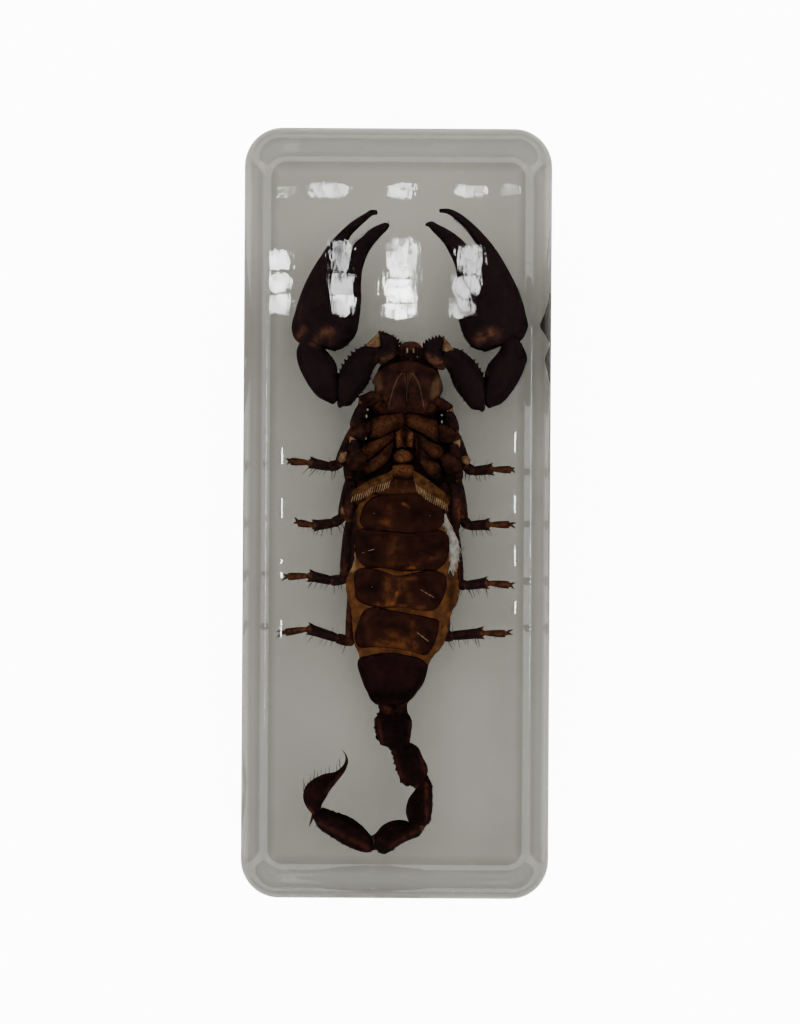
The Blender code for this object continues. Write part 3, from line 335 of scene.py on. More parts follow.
CHEST_PLATES = {
    "left_coxa_1": ([
        (-2.2, 21.5), (-3.5, 22.1), (-4.6, 21.9), (-5.2, 21.0), (-4.6, 20.1), (-2.4, 19.4), (-1.5, 19.6),
    ], 1.1),
    "right_coxa_1": ([
        (5.4, 21.0), (6.5, 21.7), (7.6, 21.5), (8.0, 20.6), (7.3, 19.8), (5.9, 19.4), (5.2, 19.5),
    ], 1.1),
    "left_coxa_2": ([
        (1.4, 19.6), (-0.7, 19.6), (-3.5, 19.2), (-5.2, 18.5), (-5.9, 17.2), (-5.9, 15.6), (-5.3, 14.5),
        (-3.5, 14.7), (-1.7, 15.6), (-0.1, 16.4), (1.5, 17.1),
    ], 1.2),
    "right_coxa_2": ([
        (1.8, 19.6), (3.7, 19.4), (5.9, 18.8), (8.0, 18.2), (8.6, 17.0), (8.5, 15.3), (8.2, 13.8),
        (6.5, 14.5), (4.8, 15.6), (3.4, 16.3), (1.8, 17.1),
    ], 1.2),
    "left_coxa_3": ([
        (-0.5, 16.0), (-2.4, 15.2), (-4.9, 14.2), (-6.7, 13.6), (-7.4, 12.5), (-7.1, 11.3), (-6.2, 10.3),
        (-5.4, 10.5), (-3.6, 11.9), (-1.3, 13.9), (-0.5, 14.7),
    ], 1.1),
    "right_coxa_3": ([
        (3.4, 15.9), (4.8, 15.4), (6.5, 14.1), (8.2, 13.6), (9.4, 12.8), (9.5, 11.6), (8.5, 10.5),
        (7.3, 10.5), (5.9, 11.7), (4.2, 13.4), (3.4, 14.5),
    ], 1.1),
    "left_coxa_4": ([
        (-0.5, 14.4), (-0.7, 12.6), (-1.2, 10.8), (-2.6, 9.3), (-4.6, 8.0), (-6.2, 7.5), (-6.6, 8.5),
        (-5.9, 9.9), (-3.6, 11.6), (-1.6, 13.6),
    ], 0.9),
    "right_coxa_4": ([
        (3.4, 14.4), (3.6, 12.4), (3.9, 10.8), (5.0, 9.0), (6.1, 7.6), (7.5, 6.7), (8.7, 7.5), (8.5, 9.5),
        (7.3, 10.5), (5.3, 12.3),
    ], 0.9),
    "sternum": ([
        (1.5, 17.2), (0.4, 16.6), (-0.4, 15.9), (-0.3, 14.0), (-0.1, 12.5), (1.1, 13.0), (1.5, 12.5),
        (2.0, 13.0), (3.0, 12.7), (3.3, 14.2), (3.4, 15.8), (2.6, 16.6),
    ], 1.3),
    "operculum": ([
        (1.1, 12.6), (-0.1, 12.3), (-0.8, 11.2), (-0.5, 10.2), (1.1, 9.8), (2.8, 10.2), (3.3, 11.2),
        (2.3, 12.3),
    ], 1.3),
    "comb_base": ([
        (-0.8, 9.4), (0.3, 9.7), (2.0, 9.7), (3.2, 9.4), (3.4, 8.1), (3.2, 7.0), (1.1, 6.7), (-0.9, 7.0),
        (-1.0, 8.2),
    ], 1.1),
    "fan_plate": ([
        (-1.4, 7.2), (1.2, 7.0), (3.8, 6.8), (6.0, 5.4), (7.6, 3.9), (5.0, 3.5), (1.0, 3.6), (-3.4, 3.5),
        (-5.4, 4.2), (-3.4, 5.6),
    ], 0.6),
}
GROOVES = [
    (1.5, 16.9, 1.5, 12.7, 0.5, 0.6), (1.2, 11.2, 1.2, 9.9, 0.25, 0.35), (1.2, 11.2, 0.3, 12.3, 0.25, 0.3),
    (1.2, 11.2, 2.1, 12.3, 0.25, 0.3), (2.0, 27.5, 1.8, 19.6, 0.4, 0.35), (0.3, 27.4, -1.3, 21.0, 0.5, 0.3),
    (3.6, 27.4, 5.0, 20.8, 0.5, 0.3), (-0.6, 8.9, 3.0, 8.9, 0.2, 0.25), (-0.6, 8.1, 3.0, 8.1, 0.2, 0.25),
]

HIPS = {
    "left_hip_1": ([
        (-2.3, 22.3), (-3.5, 23.6), (-4.9, 24.0), (-6.3, 23.5), (-7.6, 22.8), (-6.9, 21.5), (-5.9, 21.0),
        (-4.6, 21.1), (-3.5, 21.5),
    ], 14.2),
    "left_hip_2": ([
        (-5.3, 18.0), (-6.7, 17.9), (-8.2, 17.0), (-8.9, 16.0), (-9.5, 15.6), (-8.7, 14.7), (-7.4, 14.2),
        (-6.0, 14.6), (-5.3, 15.9),
    ], 14.0),
    "left_hip_3": ([
        (-6.4, 11.9), (-7.8, 12.7), (-9.2, 12.1), (-10.0, 11.0), (-9.9, 9.7), (-9.0, 8.6), (-7.6, 8.3),
        (-6.3, 8.8),
    ], 13.8),
    "left_hip_4": ([
        (-4.8, 6.4), (-6.6, 6.6), (-8.0, 5.0), (-8.6, 2.6), (-8.0, 1.4), (-6.6, 1.2), (-5.6, 3.0),
    ], 13.2),
    "right_hip_1": ([
        (6.6, 22.3), (7.4, 23.0), (8.8, 22.7), (10.2, 21.8), (11.0, 21.1), (10.1, 20.2), (8.7, 20.2),
        (7.4, 20.8),
    ], 14.2),
    "right_hip_2": ([
        (8.5, 17.6), (9.8, 17.3), (11.1, 16.5), (11.9, 15.6), (12.7, 15.1), (11.7, 14.1), (10.2, 13.8),
        (8.7, 14.1),
    ], 14.0),
    "right_hip_3": ([
        (8.9, 11.9), (10.5, 12.0), (11.9, 11.0), (12.7, 9.6), (12.6, 8.5), (11.3, 7.8), (9.6, 8.2),
        (8.6, 9.6),
    ], 13.8),
    "right_hip_4": ([
        (7.8, 6.2), (9.4, 6.2), (10.6, 4.6), (11.2, 2.4), (10.6, 1.2), (9.2, 1.0), (8.2, 2.8),
    ], 13.2),
}
# Pale skin showing in the hips: outline.
HIP_SKINS = {
    "left_hip_skin_1": [(-7.5, 22.4), (-7.7, 21.2), (-7.8, 20.5), (-6.8, 21.0), (-6.4, 21.2)],
    "left_hip_skin_2": [(-9.2, 15.1), (-9.4, 14.2), (-9.0, 13.2), (-8.1, 13.6), (-7.5, 14.3)],
    "left_hip_skin_3": [(-9.9, 12.1), (-11.1, 11.4), (-11.6, 10.4), (-10.9, 9.9), (-10.1, 10.3)],
    "right_hip_skin_1": [(10.0, 20.3), (10.5, 19.6), (11.1, 19.4), (11.1, 20.2), (10.9, 21.0)],
    "right_hip_skin_2": [(10.8, 14.2), (11.2, 13.5), (12.3, 12.9), (12.5, 13.8), (12.4, 14.8)],
    "right_hip_skin_3": [(12.7, 11.1), (12.9, 10.1), (14.1, 9.7), (14.5, 10.6), (13.7, 11.4)],
}
# The dark underside of the trunk that shows between the legs, and small pale dots there, each like an air
# bubble caught in the resin: painted glints.
FLANKS = {
    "left_flank": [
        (-3.0, 22.0), (-5.6, 21.6), (-7.0, 20.6), (-7.6, 18.2), (-8.6, 15.4), (-9.6, 12.6), (-10.6, 9.8),
        (-10.2, 6.5), (-9.4, 3.5), (-8.0, 1.6), (-4.0, 3.0), (-3.0, 12.0),
    ],
    "right_flank": [
        (6.0, 21.6), (8.6, 21.4), (9.9, 20.2), (10.5, 18.2), (11.6, 15.4), (12.2, 12.6), (13.0, 9.8),
        (12.6, 6.0), (11.6, 3.0), (10.2, 1.4), (6.6, 3.0), (5.6, 12.0),
    ],
}
BUBBLE_GLINTS = [
    (-5.8, 20.3, 0.2, 0.26), (-6.0, 19.0, 0.17, 0.4), (8.8, 19.3, 0.24, 0.2), (8.8, 18.0, 0.18, 0.3),
    (-6.1, 14.8, 0.2, 0.42), (10.3, 11.1, 0.2, 0.4), (3.5, 8.9, 0.14, 0.2), (-9.2, 21.0, 0.1, 0.1),
]
TORN_TISSUE = [
    [(9.2, 0.7), (10.0, -1.0), (10.6, -2.9), (10.3, -3.4), (9.7, -2.6)],
    [(10.3, -2.7), (11.2, -3.5), (12.0, -5.2), (12.1, -7.0), (11.2, -6.6), (10.6, -5.2)],
    [
        (10.7, -5.6), (11.9, -6.4), (12.1, -8.0), (11.5, -9.8), (11.2, -11.1), (10.6, -10.8), (10.8, -9.2),
        (10.5, -7.4),
    ],
]
CHELICERAE = {
    "left_chelicera": [(1.2, 30.2), (0.9, 31.8), (1.3, 32.7), (2.0, 32.8), (2.5, 32.2), (2.5, 30.2)],
    "right_chelicera": [(2.7, 30.2), (2.7, 32.2), (3.2, 32.8), (3.9, 32.7), (4.3, 31.8), (4.0, 30.2)],
}
COMBS = {
    "left_comb": ([
        (-0.9, 8.4, -0.8, 6.5), (-2.8, 7.5, -2.3, 5.7), (-5.0, 6.6, -4.6, 5.1), (-6.9, 5.5, -6.4, 4.0),
        (-8.6, 4.3, -8.1, 3.4), (-9.1, 3.5, -8.9, 3.2),
    ], (-0.25, -1.0)),
    "right_comb": ([
        (3.4, 8.4, 3.4, 5.9), (4.8, 7.6, 4.6, 4.8), (6.7, 6.2, 6.3, 3.6), (8.5, 4.8, 7.9, 2.8),
        (9.9, 3.5, 9.5, 2.0), (10.3, 2.5, 10.1, 1.7),
    ], (0.15, -1.0)),
}

# Soft strokes of colour, each from x, y to x, y with a half width and a strength.
HAND_AMBER = [
    (-19.6, 33.9, -18.6, 36.0, 1.1, 0.45), (-15.4, 34.2, -13.4, 35.6, 1.7, 0.6),
    (-13.0, 33.4, -12.4, 35.8, 1.1, 0.4), (15.9, 34.3, 18.2, 35.4, 1.9, 0.6),
    (19.2, 33.9, 19.6, 35.8, 1.2, 0.35), (-19.6, 37.5, -18.8, 41.0, 0.6, 0.15),
    (-3.4, 30.2, -0.2, 30.6, 1.5, 0.6), (8.6, 29.2, 5.6, 30.4, 1.8, 0.75),
    (-17.0, 33.0, -15.4, 32.6, 0.7, 0.3), (-20.4, 30.6, -19.4, 26.6, 0.4, 0.3),
]
HEAD_AMBER = [
    (-3.9, 27.0, -3.9, 24.2, 1.4, 0.35), (8.0, 26.4, 7.6, 23.0, 1.4, 0.4),
    (-2.4, 22.4, -1.8, 20.6, 0.9, 0.3), (5.4, 22.0, 6.0, 20.4, 0.9, 0.35), (1.2, 33.0, 4.0, 33.0, 0.7, 0.3),
]
# Pale ridge lines and side patches of the mouth shield, and in the last three strokes painted glints on the
# jaws.
HEAD_PALE_AND_GLINTS = [
    (0.9, 27.4, 0.1, 26.4, 0.17, 0.24), (0.1, 26.4, -0.7, 24.6, 0.2, 0.26),
    (-0.7, 24.6, -1.6, 21.1, 0.17, 0.22), (3.0, 27.4, 3.9, 26.0, 0.17, 0.24),
    (3.9, 26.0, 4.6, 24.0, 0.2, 0.26), (4.6, 24.0, 5.2, 20.8, 0.17, 0.22),
    (2.1, 27.5, 1.8, 22.0, 0.11, 0.18), (1.3, 27.4, 1.7, 25.0, 0.11, 0.16),
    (2.8, 27.4, 2.1, 25.0, 0.11, 0.16), (-4.4, 26.6, -3.9, 24.2, 1.05, 0.17),
    (-3.7, 26.6, -3.4, 24.4, 0.8, 0.12), (8.2, 26.2, 7.9, 23.6, 1.1, 0.2),
    (7.3, 25.4, 6.9, 22.8, 0.8, 0.16), (1.9, 31.5, 1.9, 32.2, 0.26, 1.0),
    (3.15, 31.5, 3.15, 32.2, 0.24, 0.9), (3.9, 30.6, 3.9, 30.6, 0.2, 1.0),
]
CHEST_AMBER = [
    (-1.0, 18.4, -4.4, 17.0, 1.3, 0.42), (-2.6, 16.6, -4.6, 15.8, 0.9, 0.35),
    (3.2, 18.2, 6.8, 16.4, 1.4, 0.42), (-3.0, 14.2, -6.4, 12.0, 1.2, 0.35),
    (-2.6, 10.8, -4.6, 9.2, 1.0, 0.35), (6.2, 13.0, 8.6, 11.8, 1.1, 0.28), (5.2, 10.6, 7.4, 8.2, 0.9, 0.24),
    (0.3, 15.6, 0.3, 13.2, 0.8, 0.9), (2.7, 15.4, 2.7, 13.2, 0.8, 0.9), (1.2, 11.9, 1.2, 10.5, 2.0, 1.15),
    (-0.4, 8.6, 2.8, 8.6, 1.6, 1.0), (-3.4, 4.4, 5.6, 4.4, 0.9, 0.3), (-0.6, 8.0, 2.8, 8.0, 0.4, 0.8),
]
CHEST_DARK = [
    (1.4, 17.6, 1.4, 16.2, 0.7, 0.8), (1.5, 14.8, 1.5, 13.0, 0.4, 0.9), (3.8, 15.6, 4.6, 13.8, 1.0, 1.0),
    (4.2, 14.0, 4.3, 10.2, 0.8, 1.0), (5.4, 11.0, 8.8, 10.4, 0.9, 0.9), (5.8, 14.8, 9.4, 13.9, 0.7, 0.8),
    (6.6, 7.2, 9.0, 8.2, 1.2, 0.8), (-6.8, 8.0, -4.8, 7.0, 1.0, 0.8), (-7.2, 13.4, -5.2, 14.6, 0.6, 0.8),
    (8.4, 19.0, 8.4, 14.5, 0.7, 0.7), (-5.9, 18.6, -6.0, 14.8, 0.6, 0.6),
]
BELLY_AMBER = [
    (2.4, -10.6, 3.5, -10.6, 0.6, 0.6), (-0.7, -17.8, 0.2, -15.6, 0.7, 0.75),
    (-3.4, -18.0, -0.6, -17.6, 0.9, 0.5), (-1.2, 1.0, -0.9, -2.9, 1.4, 0.12),
    (-2.9, -1.7, -1.3, -2.0, 1.4, 0.42), (1.3, 1.9, 2.4, 1.2, 0.5, 0.55),
    (-0.6, -5.2, -0.9, -9.6, 1.7, 0.2), (0.6, -9.9, 4.4, -9.9, 0.7, 0.15),
    (4.6, -9.4, 8.0, -8.4, 1.0, 0.12), (-1.4, -13.0, -1.6, -17.6, 1.6, 0.42),
    (0.6, -12.9, 3.6, -12.7, 0.8, 0.3), (0.4, -13.2, 1.0, -15.6, 0.8, 0.25),
    (1.4, -13.4, 2.6, -16.8, 1.2, 0.2), (-4.6, -17.6, 5.4, -18.4, 0.7, 0.3),
    (1.5, -18.3, 6.4, -18.9, 0.5, 0.3), (-3.2, -25.4, 3.4, -25.9, 1.8, 0.45),
    (-1.0, -23.6, 1.8, -25.0, 1.6, 0.28), (-4.6, -27.0, 4.6, -27.4, 0.7, 0.4),
    (3.0, -21.4, 3.6, -24.0, 1.2, 0.24), (-5.8, -21.0, -5.6, -24.0, 1.2, 0.1),
    (-3.0, -9.9, -6.0, -9.6, 0.5, 0.15),
]
# Breathing slits and the specks by them: from x, y to x, y with a half width.
SLITS = [
    (-6.6, -7.8, -6.3, -7.7, 0.06), (-5.6, -7.4, -4.3, -7.05, 0.07), (4.8, -14.9, 7.4, -16.4, 0.11),
    (4.1, -23.2, 6.4, -25.0, 0.11), (-4.7, -14.4, -4.66, -14.5, 0.08), (6.5, -0.4, 6.52, -0.5, 0.1),
    (-4.4, 0.0, -4.38, -0.1, 0.07),
]
BELLY_DARK = [
    (-6.4, -5.2, -4.4, -9.2, 2.0, 0.7), (-7.0, -21.6, -6.0, -26.2, 1.4, 0.45),
    (5.4, -21.0, 6.8, -25.6, 1.3, 0.4), (-3.4, -21.4, 2.6, -22.6, 1.3, 0.5),
    (-6.2, -14.6, -4.2, -14.6, 1.6, 0.95), (5.0, -7.3, 7.4, -8.2, 0.3, 0.9),
    (5.6, -6.0, 8.4, -6.4, 2.0, 0.5), (-5.0, 0.8, -3.0, -1.0, 1.8, 0.5), (3.0, 0.6, 7.2, -1.0, 2.2, 0.55),
    (5.6, -13.0, 7.6, -17.0, 1.5, 0.4), (2.4, -5.0, 3.0, -8.6, 1.0, 0.3),
    (-4.4, -35.9, 2.6, -35.6, 2.3, 1.1), (-6.4, -31.0, -5.0, -34.6, 0.9, 0.5),
    (5.4, -31.0, 3.8, -34.6, 0.9, 0.5),
]
WALL_PALE = [
    (9.0, 0.5, 10.8, -3.3, 0.8, 0.45), (10.8, -3.3, 12.2, -7.4, 1.2, 0.5),
    (12.2, -7.4, 11.6, -10.6, 1.0, 0.7), (-8.4, -2.3, -8.6, -11.0, 0.9, 0.9),
]
# Darker places on the body wall: painted shade where it shows in the gaps under the head and chest plates and
# round the last belly plate, and dark spots and streaks along its sides.
WALL_DARK = [
    (-7.0, 32.0, -7.0, 7.5, 4.5, 2.5), (-3.0, 32.0, -3.0, 6.5, 4.5, 2.5), (1.0, 32.0, 1.0, 6.0, 4.5, 2.5),
    (5.0, 32.0, 5.0, 6.5, 4.5, 2.5), (9.0, 32.0, 9.0, 7.5, 4.5, 2.5), (9.1, -22.2, 9.1, -22.3, 0.45, 1.0),
    (8.9, -23.7, 8.9, -23.8, 0.45, 1.0), (-9.0, 6.0, -8.6, -3.6, 2.0, 0.9),
    (9.6, 5.0, 10.2, -1.5, 1.5, 0.8), (11.0, -12.0, 10.9, -17.8, 1.7, 0.6), (1.0, 4.0, 1.0, 2.0, 7.0, 0.7),
    (-0.6, -33.5, -0.9, -37.0, 8.0, 1.0), (5.0, -32.5, 3.0, -36.0, 2.4, 1.0),
    (-5.5, -32.5, -4.5, -36.0, 2.4, 1.0),
]
TAIL_AMBER = [
    (-2.8, -37.4, -1.6, -38.6, 1.17, 0.68), (-3.3, -40.6, -2.6, -45.0, 0.65, 0.38),
    (2.9, -40.8, 2.8, -44.4, 0.54, 0.3), (1.6, -37.6, 0.8, -38.6, 0.9, 0.26),
    (4.8, -47.0, 5.9, -50.6, 0.75, 0.3), (0.6, -49.4, 1.8, -52.8, 0.7, 0.38),
    (-0.4, -46.4, 0.6, -49.4, 0.63, 0.34), (6.2, -53.2, 6.4, -60.4, 0.75, 0.45),
    (5.2, -61.8, -0.8, -65.2, 0.7, 0.38), (-5.2, -65.6, -14.6, -61.0, 0.75, 0.38),
    (-16.4, -58.6, -16.8, -57.8, 0.81, 0.6), (-13.6, -55.0, -10.6, -51.4, 0.72, 0.3),
    (-16.6, -54.4, -14.6, -56.4, 1.8, 0.11),
]
TAIL_DARK = [
    (0.3, -40.4, 0.0, -44.8, 1.6, 1.2), (2.2, -47.4, 3.9, -51.8, 1.2, 1.2),
    (4.3, -55.2, 4.1, -59.8, 1.5, 1.2), (2.4, -61.0, -1.4, -63.4, 1.5, 1.2),
    (-5.0, -62.2, -14.0, -57.2, 1.5, 1.2), (-17.6, -54.0, -18.0, -51.6, 1.2, 0.5),
]

# Where the ceiling lamps mirror in the block's top face: centre and size, in millimetres from its centre, and
# brightness beside the other lamps.
LAMPS = [
    (-22.9, 48.4, 4.4, 4.2, 0.9), (-22.9, 44.1, 4.4, 3.9, 1.0), (-22.9, 40.0, 4.4, 4.0, 0.9),
    (-11.0, 49.2, 4.3, 6.4, 0.3), (-10.7, 44.2, 4.5, 4.7, 0.45), (-10.2, 39.9, 4.2, 4.4, 1.0),
    (1.0, 48.8, 5.8, 8.0, 0.9), (0.3, 43.8, 6.4, 7.4, 1.8), (0.5, 40.2, 6.2, 6.0, 1.5),
    (13.8, 48.6, 5.2, 6.0, 0.4), (12.9, 44.1, 5.0, 5.6, 0.5), (12.3, 39.9, 4.4, 4.9, 0.4),
    (-13.4, 61.9, 7.4, 3.0, 0.55), (0.65, 61.9, 5.0, 3.0, 0.6), (14.1, 61.9, 6.2, 2.3, 0.55),
    (-21.6, 61.6, 0.3, 2.0, 0.5), (-20.2, 61.8, 0.2, 1.6, 0.5), (-22.8, 61.6, 0.2, 2.2, 0.5),
    (20.6, 62.2, 0.25, 2.0, 0.5), (21.6, 62.2, 0.2, 1.6, 0.5), (22.6, 62.2, 0.2, 1.6, 0.4),
    (-22.0, 10.9, 0.3, 3.2, 1.0), (-22.0, 0.9, 0.25, 3.6, 0.9), (-22.0, -9.4, 0.3, 0.8, 1.0),
    (-22.0, -12.0, 0.3, 1.1, 1.0), (-22.0, -22.3, 0.25, 3.2, 0.9), (22.7, 13.8, 0.25, 3.8, 1.0),
    (22.7, 1.9, 0.25, 3.4, 0.9), (22.8, -8.0, 0.25, 4.0, 0.9), (22.9, -17.9, 0.25, 2.3, 1.0),
    (100.0, 0.0, 6.0, 90.0, 0.5), (-46.0, -2.0, 6.0, 80.0, 0.4),
]
BROAD_LAMP = 2.0  # lamps wider than this show worn, ragged outlines in the face

# ---------------------------------------------------------------------------------------------------------
# How the forms are drawn

BODY_SQUARE, BODY_SECTIONS = 2.6, 200
KEEL_FADE = 0.12  # share of a form's length over which its keels fade out at each end
DOME_DEGREES = (75, 50, 25)  # rings of a rounded end, from its point on
RIM_PLACE, RIM_WIDTH = 0.93, 0.04  # where a plate's raised rim lies on its way out from the middle
EDGE_STEPS = 12  # steps round the resin's rounded edges
ARM_MIDDLE, ARM_SHIFT = 2.75, 0.6  # the arms' middle line, and how much lower the right arm lies
HEAD_SHIELD = (31.8, 11.4)  # front and rear
# Heights in the block at which plates lie that don't follow the body's skin.
JAW_DOME_HEIGHT, JAW_HEIGHT, COMB_HEIGHT, TISSUE_HEIGHT, BUBBLE_HEIGHT = 14.0, 14.8, 16.5, 14.2, 14.6
FLANK_HEIGHT, HIP_SKIN_HEIGHT, TROCHANTER_HEIGHT, ARM_SKIN_HEIGHT = 11.2, 13.6, 13.0, 12.8
# Keels: angle round the form in degrees, height as a share of the form, width in degrees, and beads.
BODY_CREASES = [(12, 0.02, 6, 46), (-10, 0.02, 6, 41), (168, 0.02, 6, 43), (190, 0.02, 6, 47)]
ARM_KEELS = [(60, 0.04, 9, 0), (120, 0.04, 9, 0), (200, 0.05, 9, 0), (-20, 0.05, 9, 0)]
FINGER_KEELS = [(90, 0.04, 12, 0)]
LEG_KEELS = [(70, 0.05, 12, 0), (-70, 0.05, 12, 0)]
# The tail's keels have their ring's beads.
TAIL_KEELS = [
    (90, 0.07, 7), (62, 0.06, 6), (118, 0.06, 6), (25, 0.06, 7), (155, 0.06, 7), (-50, 0.07, 7),
    (-130, 0.07, 7),
]
TAIL_BEADS = {"tail_ring_1": 9, "tail_ring_2": 9, "tail_ring_3": 9, "tail_ring_4": 9, "tail_ring_5": 14}
TAIL_SPUR, SPUR_SWELL = [(-16.0, -59.2), (-16.4, -60.6), (-16.8, -61.7)], (0.3, 0.22, 0.08)
SLIT_SWELL = (0.5, 0.85, 1.0, 1.0, 1.0, 0.85, 0.5)
BUBBLE_CORNERS = [(1, 0), (0.7, 0.7), (0, 1), (-0.7, 0.7), (-1, 0), (-0.7, -0.7), (0, -1), (0.7, -0.7)]
LEG_SHARES = (0.06, 0.3, 0.55, 0.8, 0.97)  # places along a leg part that its swell is given for
CLAW_BEND, CLAW_SWELL = (0.0, 0.12, 0.25), (0.32, 0.22, 0.06)
HEEL_SPURS = (-1.0, -0.55, 0.55, 1.0)  # how far aside of the heel
LEG_BRISTLES = [(1, 5, 0.8), (2, 5, 1.0), (3, 14, 1.0), (4, 8, 0.45)]  # leg part, how many and how long
SPIKE_INPUTS = [
    ("Geometry", "Geometry", None), ("Foot Radius", "Float", 0.0001), ("Tip Radius", "Float", 0.0),
    ("Length", "Float", 0.001), ("Variation", "Float", 0.2), ("Seed", "Int", 1),
    ("Material", "Material", None),
]

# ---------------------------------------------------------------------------------------------------------
# Finishes. A plain finish has the shell's colours; the others say where they differ from it.

TONES = ("Black", "Brown", "Amber", "Pale", "Deep")
SHELL_INPUTS = [(name, "Color", (0.1, 0.1, 0.1, 1.0)) for name in TONES] + [
    ("Patch Scale", "Float", 300.0), ("Speck Scale", "Float", 900.0), ("Mottle", "Float", 0.5),
    ("Grain Scale", "Float", 2500.0), ("Polish", "Float", 0.35),
]
PLAIN_FINISH = {name: name.lower() for name in TONES} | {
    "Patch Scale": 300.0, "Speck Scale": 700.0, "Mottle": 1.0, "Grain Scale": 2500.0, "Polish": 0.35,
    "Relief": 0.00006,
}
FINISHES = {
    "black_shell": {"Amber": (0.072, 0.029, 0.0165), "Mottle": 0.5},
    "maroon_shell": {
        "Black": (0.0095, 0.0041, 0.0036), "Brown": (0.027, 0.0104, 0.0074), "Patch Scale": 400.0,
    },
    "belly_shell": {
        "Black": (0.0125, 0.0045, 0.0034), "Brown": (0.0215, 0.0072, 0.0051),
        "Amber": (0.105, 0.0365, 0.0112), "Patch Scale": 420.0, "Polish": 0.4,
    },
    "last_plate_shell": {
        "Black": (0.008, 0.0032, 0.0036), "Brown": (0.0128, 0.0044, 0.005), "Patch Scale": 350.0,
    },
    "chest_shell": {
        "Black": (0.0115, 0.0044, 0.0028), "Brown": (0.031, 0.0108, 0.0064), "Patch Scale": 900.0,
        "Speck Scale": 2600.0, "Polish": 0.4,
    },
    "hip_shell": {
        "Black": (0.009, 0.0038, 0.0029), "Brown": (0.029, 0.0108, 0.0074), "Patch Scale": 600.0,
        "Polish": 0.4,
    },
    "leg_shell": {
        "Brown": (0.0195, 0.0068, 0.0048), "Amber": (0.078, 0.0265, 0.0115), "Mottle": 0.9,
        "Patch Scale": 700.0, "Speck Scale": 1200.0, "Polish": 0.4,
    },
    "tail_shell": {
        "Black": (0.0045, 0.0026, 0.003), "Brown": (0.0115, 0.004, 0.0042), "Amber": (0.052, 0.0145, 0.009),
        "Mottle": 0.8, "Patch Scale": 500.0,
    },
    "tissue": {
        "Black": (0.15, 0.14, 0.12), "Brown": (0.27, 0.26, 0.235), "Patch Scale": 900.0,
        "Grain Scale": 3000.0, "Polish": 0.6, "Relief": 0.0002,
    },
    "slit_skin": {"Black": (0.06, 0.032, 0.018), "Brown": (0.2, 0.135, 0.075), "Patch Scale": 1800.0},
    "soft_skin": {
        "Black": (0.045, 0.0185, 0.0078), "Brown": "membrane", "Patch Scale": 500.0, "Grain Scale": 1600.0,
        "Polish": 0.55, "Relief": 0.00015,
    },
    "joint_skin": {
        "Black": (0.012, 0.0054, 0.0036), "Brown": (0.06, 0.026, 0.0125), "Patch Scale": 700.0, "Polish": 0.5,
    },
    "pale_skin": {
        "Black": (0.07, 0.033, 0.016), "Brown": (0.15, 0.098, 0.055), "Patch Scale": 700.0,
        "Grain Scale": 1600.0, "Polish": 0.6, "Relief": 0.0001,
    },
    "comb_shell": {
        "Black": (0.024, 0.0098, 0.0042), "Brown": (0.07, 0.031, 0.0108), "Patch Scale": 800.0, "Polish": 0.5,
    },
    "comb_tooth_shell": {
        "Black": (0.11, 0.064, 0.03), "Brown": (0.25, 0.165, 0.085), "Patch Scale": 800.0, "Polish": 0.5,
    },
}
SHELL_IOR, RESIN_IOR = 1.56, 1.55
# Fine wear of the resin's faces: where it grows from nothing to full across and along the block, in metres,
# how deep it is, and the share of fine scratches in it.
WORN_INSIDE, WORN_BEYOND, STREAK_DEPTH, SCRATCH_SHARE = (0.0205, 0.0185), (0.022, 0.032), 0.0000025, 0.08

# ---------------------------------------------------------------------------------------------------------
# Studio

FLOOR_REACH, FLOOR_DROP = 2.0, 0.0004  # half the floor's size, and how far it lies under the block
# The floor is paler at the block's far end: where the change lies, as shares of the length, and how much.
FAR_END, FAR_SHADE = (0.2, 0.45), 1.2
RIM_REACH = 1.5  # width of the floor's shaded strip under the block's rim, in edge radii
RIM_SHADE = {0.2: 1.0, 0.36: 0.78, 0.5: 0.64, 0.66: 0.62, 0.8: 0.72}  # its brightness on the way out
SKY_FADE = {0.88: 1.0, 0.945: 0.0}  # the sky's brightness on the way up
LAMP_HEIGHT, CAMERA_HEIGHT = 1.0, 0.3  # both above the block's top face
LENS, CAMERA_TURN = 54.95, 0.34  # millimetres and degrees
PICTURE_HEIGHT, PICTURE_SHIFT = 1024, (3.5, 1.3)  # pixels


class ResinSettings(bpy.types.PropertyGroup):
    length: FloatProperty(
        name="Length", description="Length of the resin block", default=BLOCK_LENGTH, unit="LENGTH"
    )
    width: FloatProperty(
        name="Width", description="Width of the resin block", default=BLOCK_WIDTH, unit="LENGTH"
    )
    thickness: FloatProperty(
        name="Thickness", description="Height of the block on the table", default=BLOCK_HEIGHT, unit="LENGTH"
    )
    corner_radius: FloatProperty(
        name="Corner Radius", description="Rounding of the upright corners", default=0.0075, unit="LENGTH"
    )
    edge_radius: FloatProperty(
        name="Edge Radius", description="Rounding of the top and bottom edges", default=0.005, unit="LENGTH"
    )
    tint: FloatVectorProperty(
        name="Tint", description="Colour that light takes on in thick resin", subtype="COLOR", size=4,
        default=(0.55, 0.54, 0.46, 1.0),
    )
    tint_density: FloatProperty(
        name="Tint Density", description="How strongly the resin is tinted, per metre", default=8.0
    )


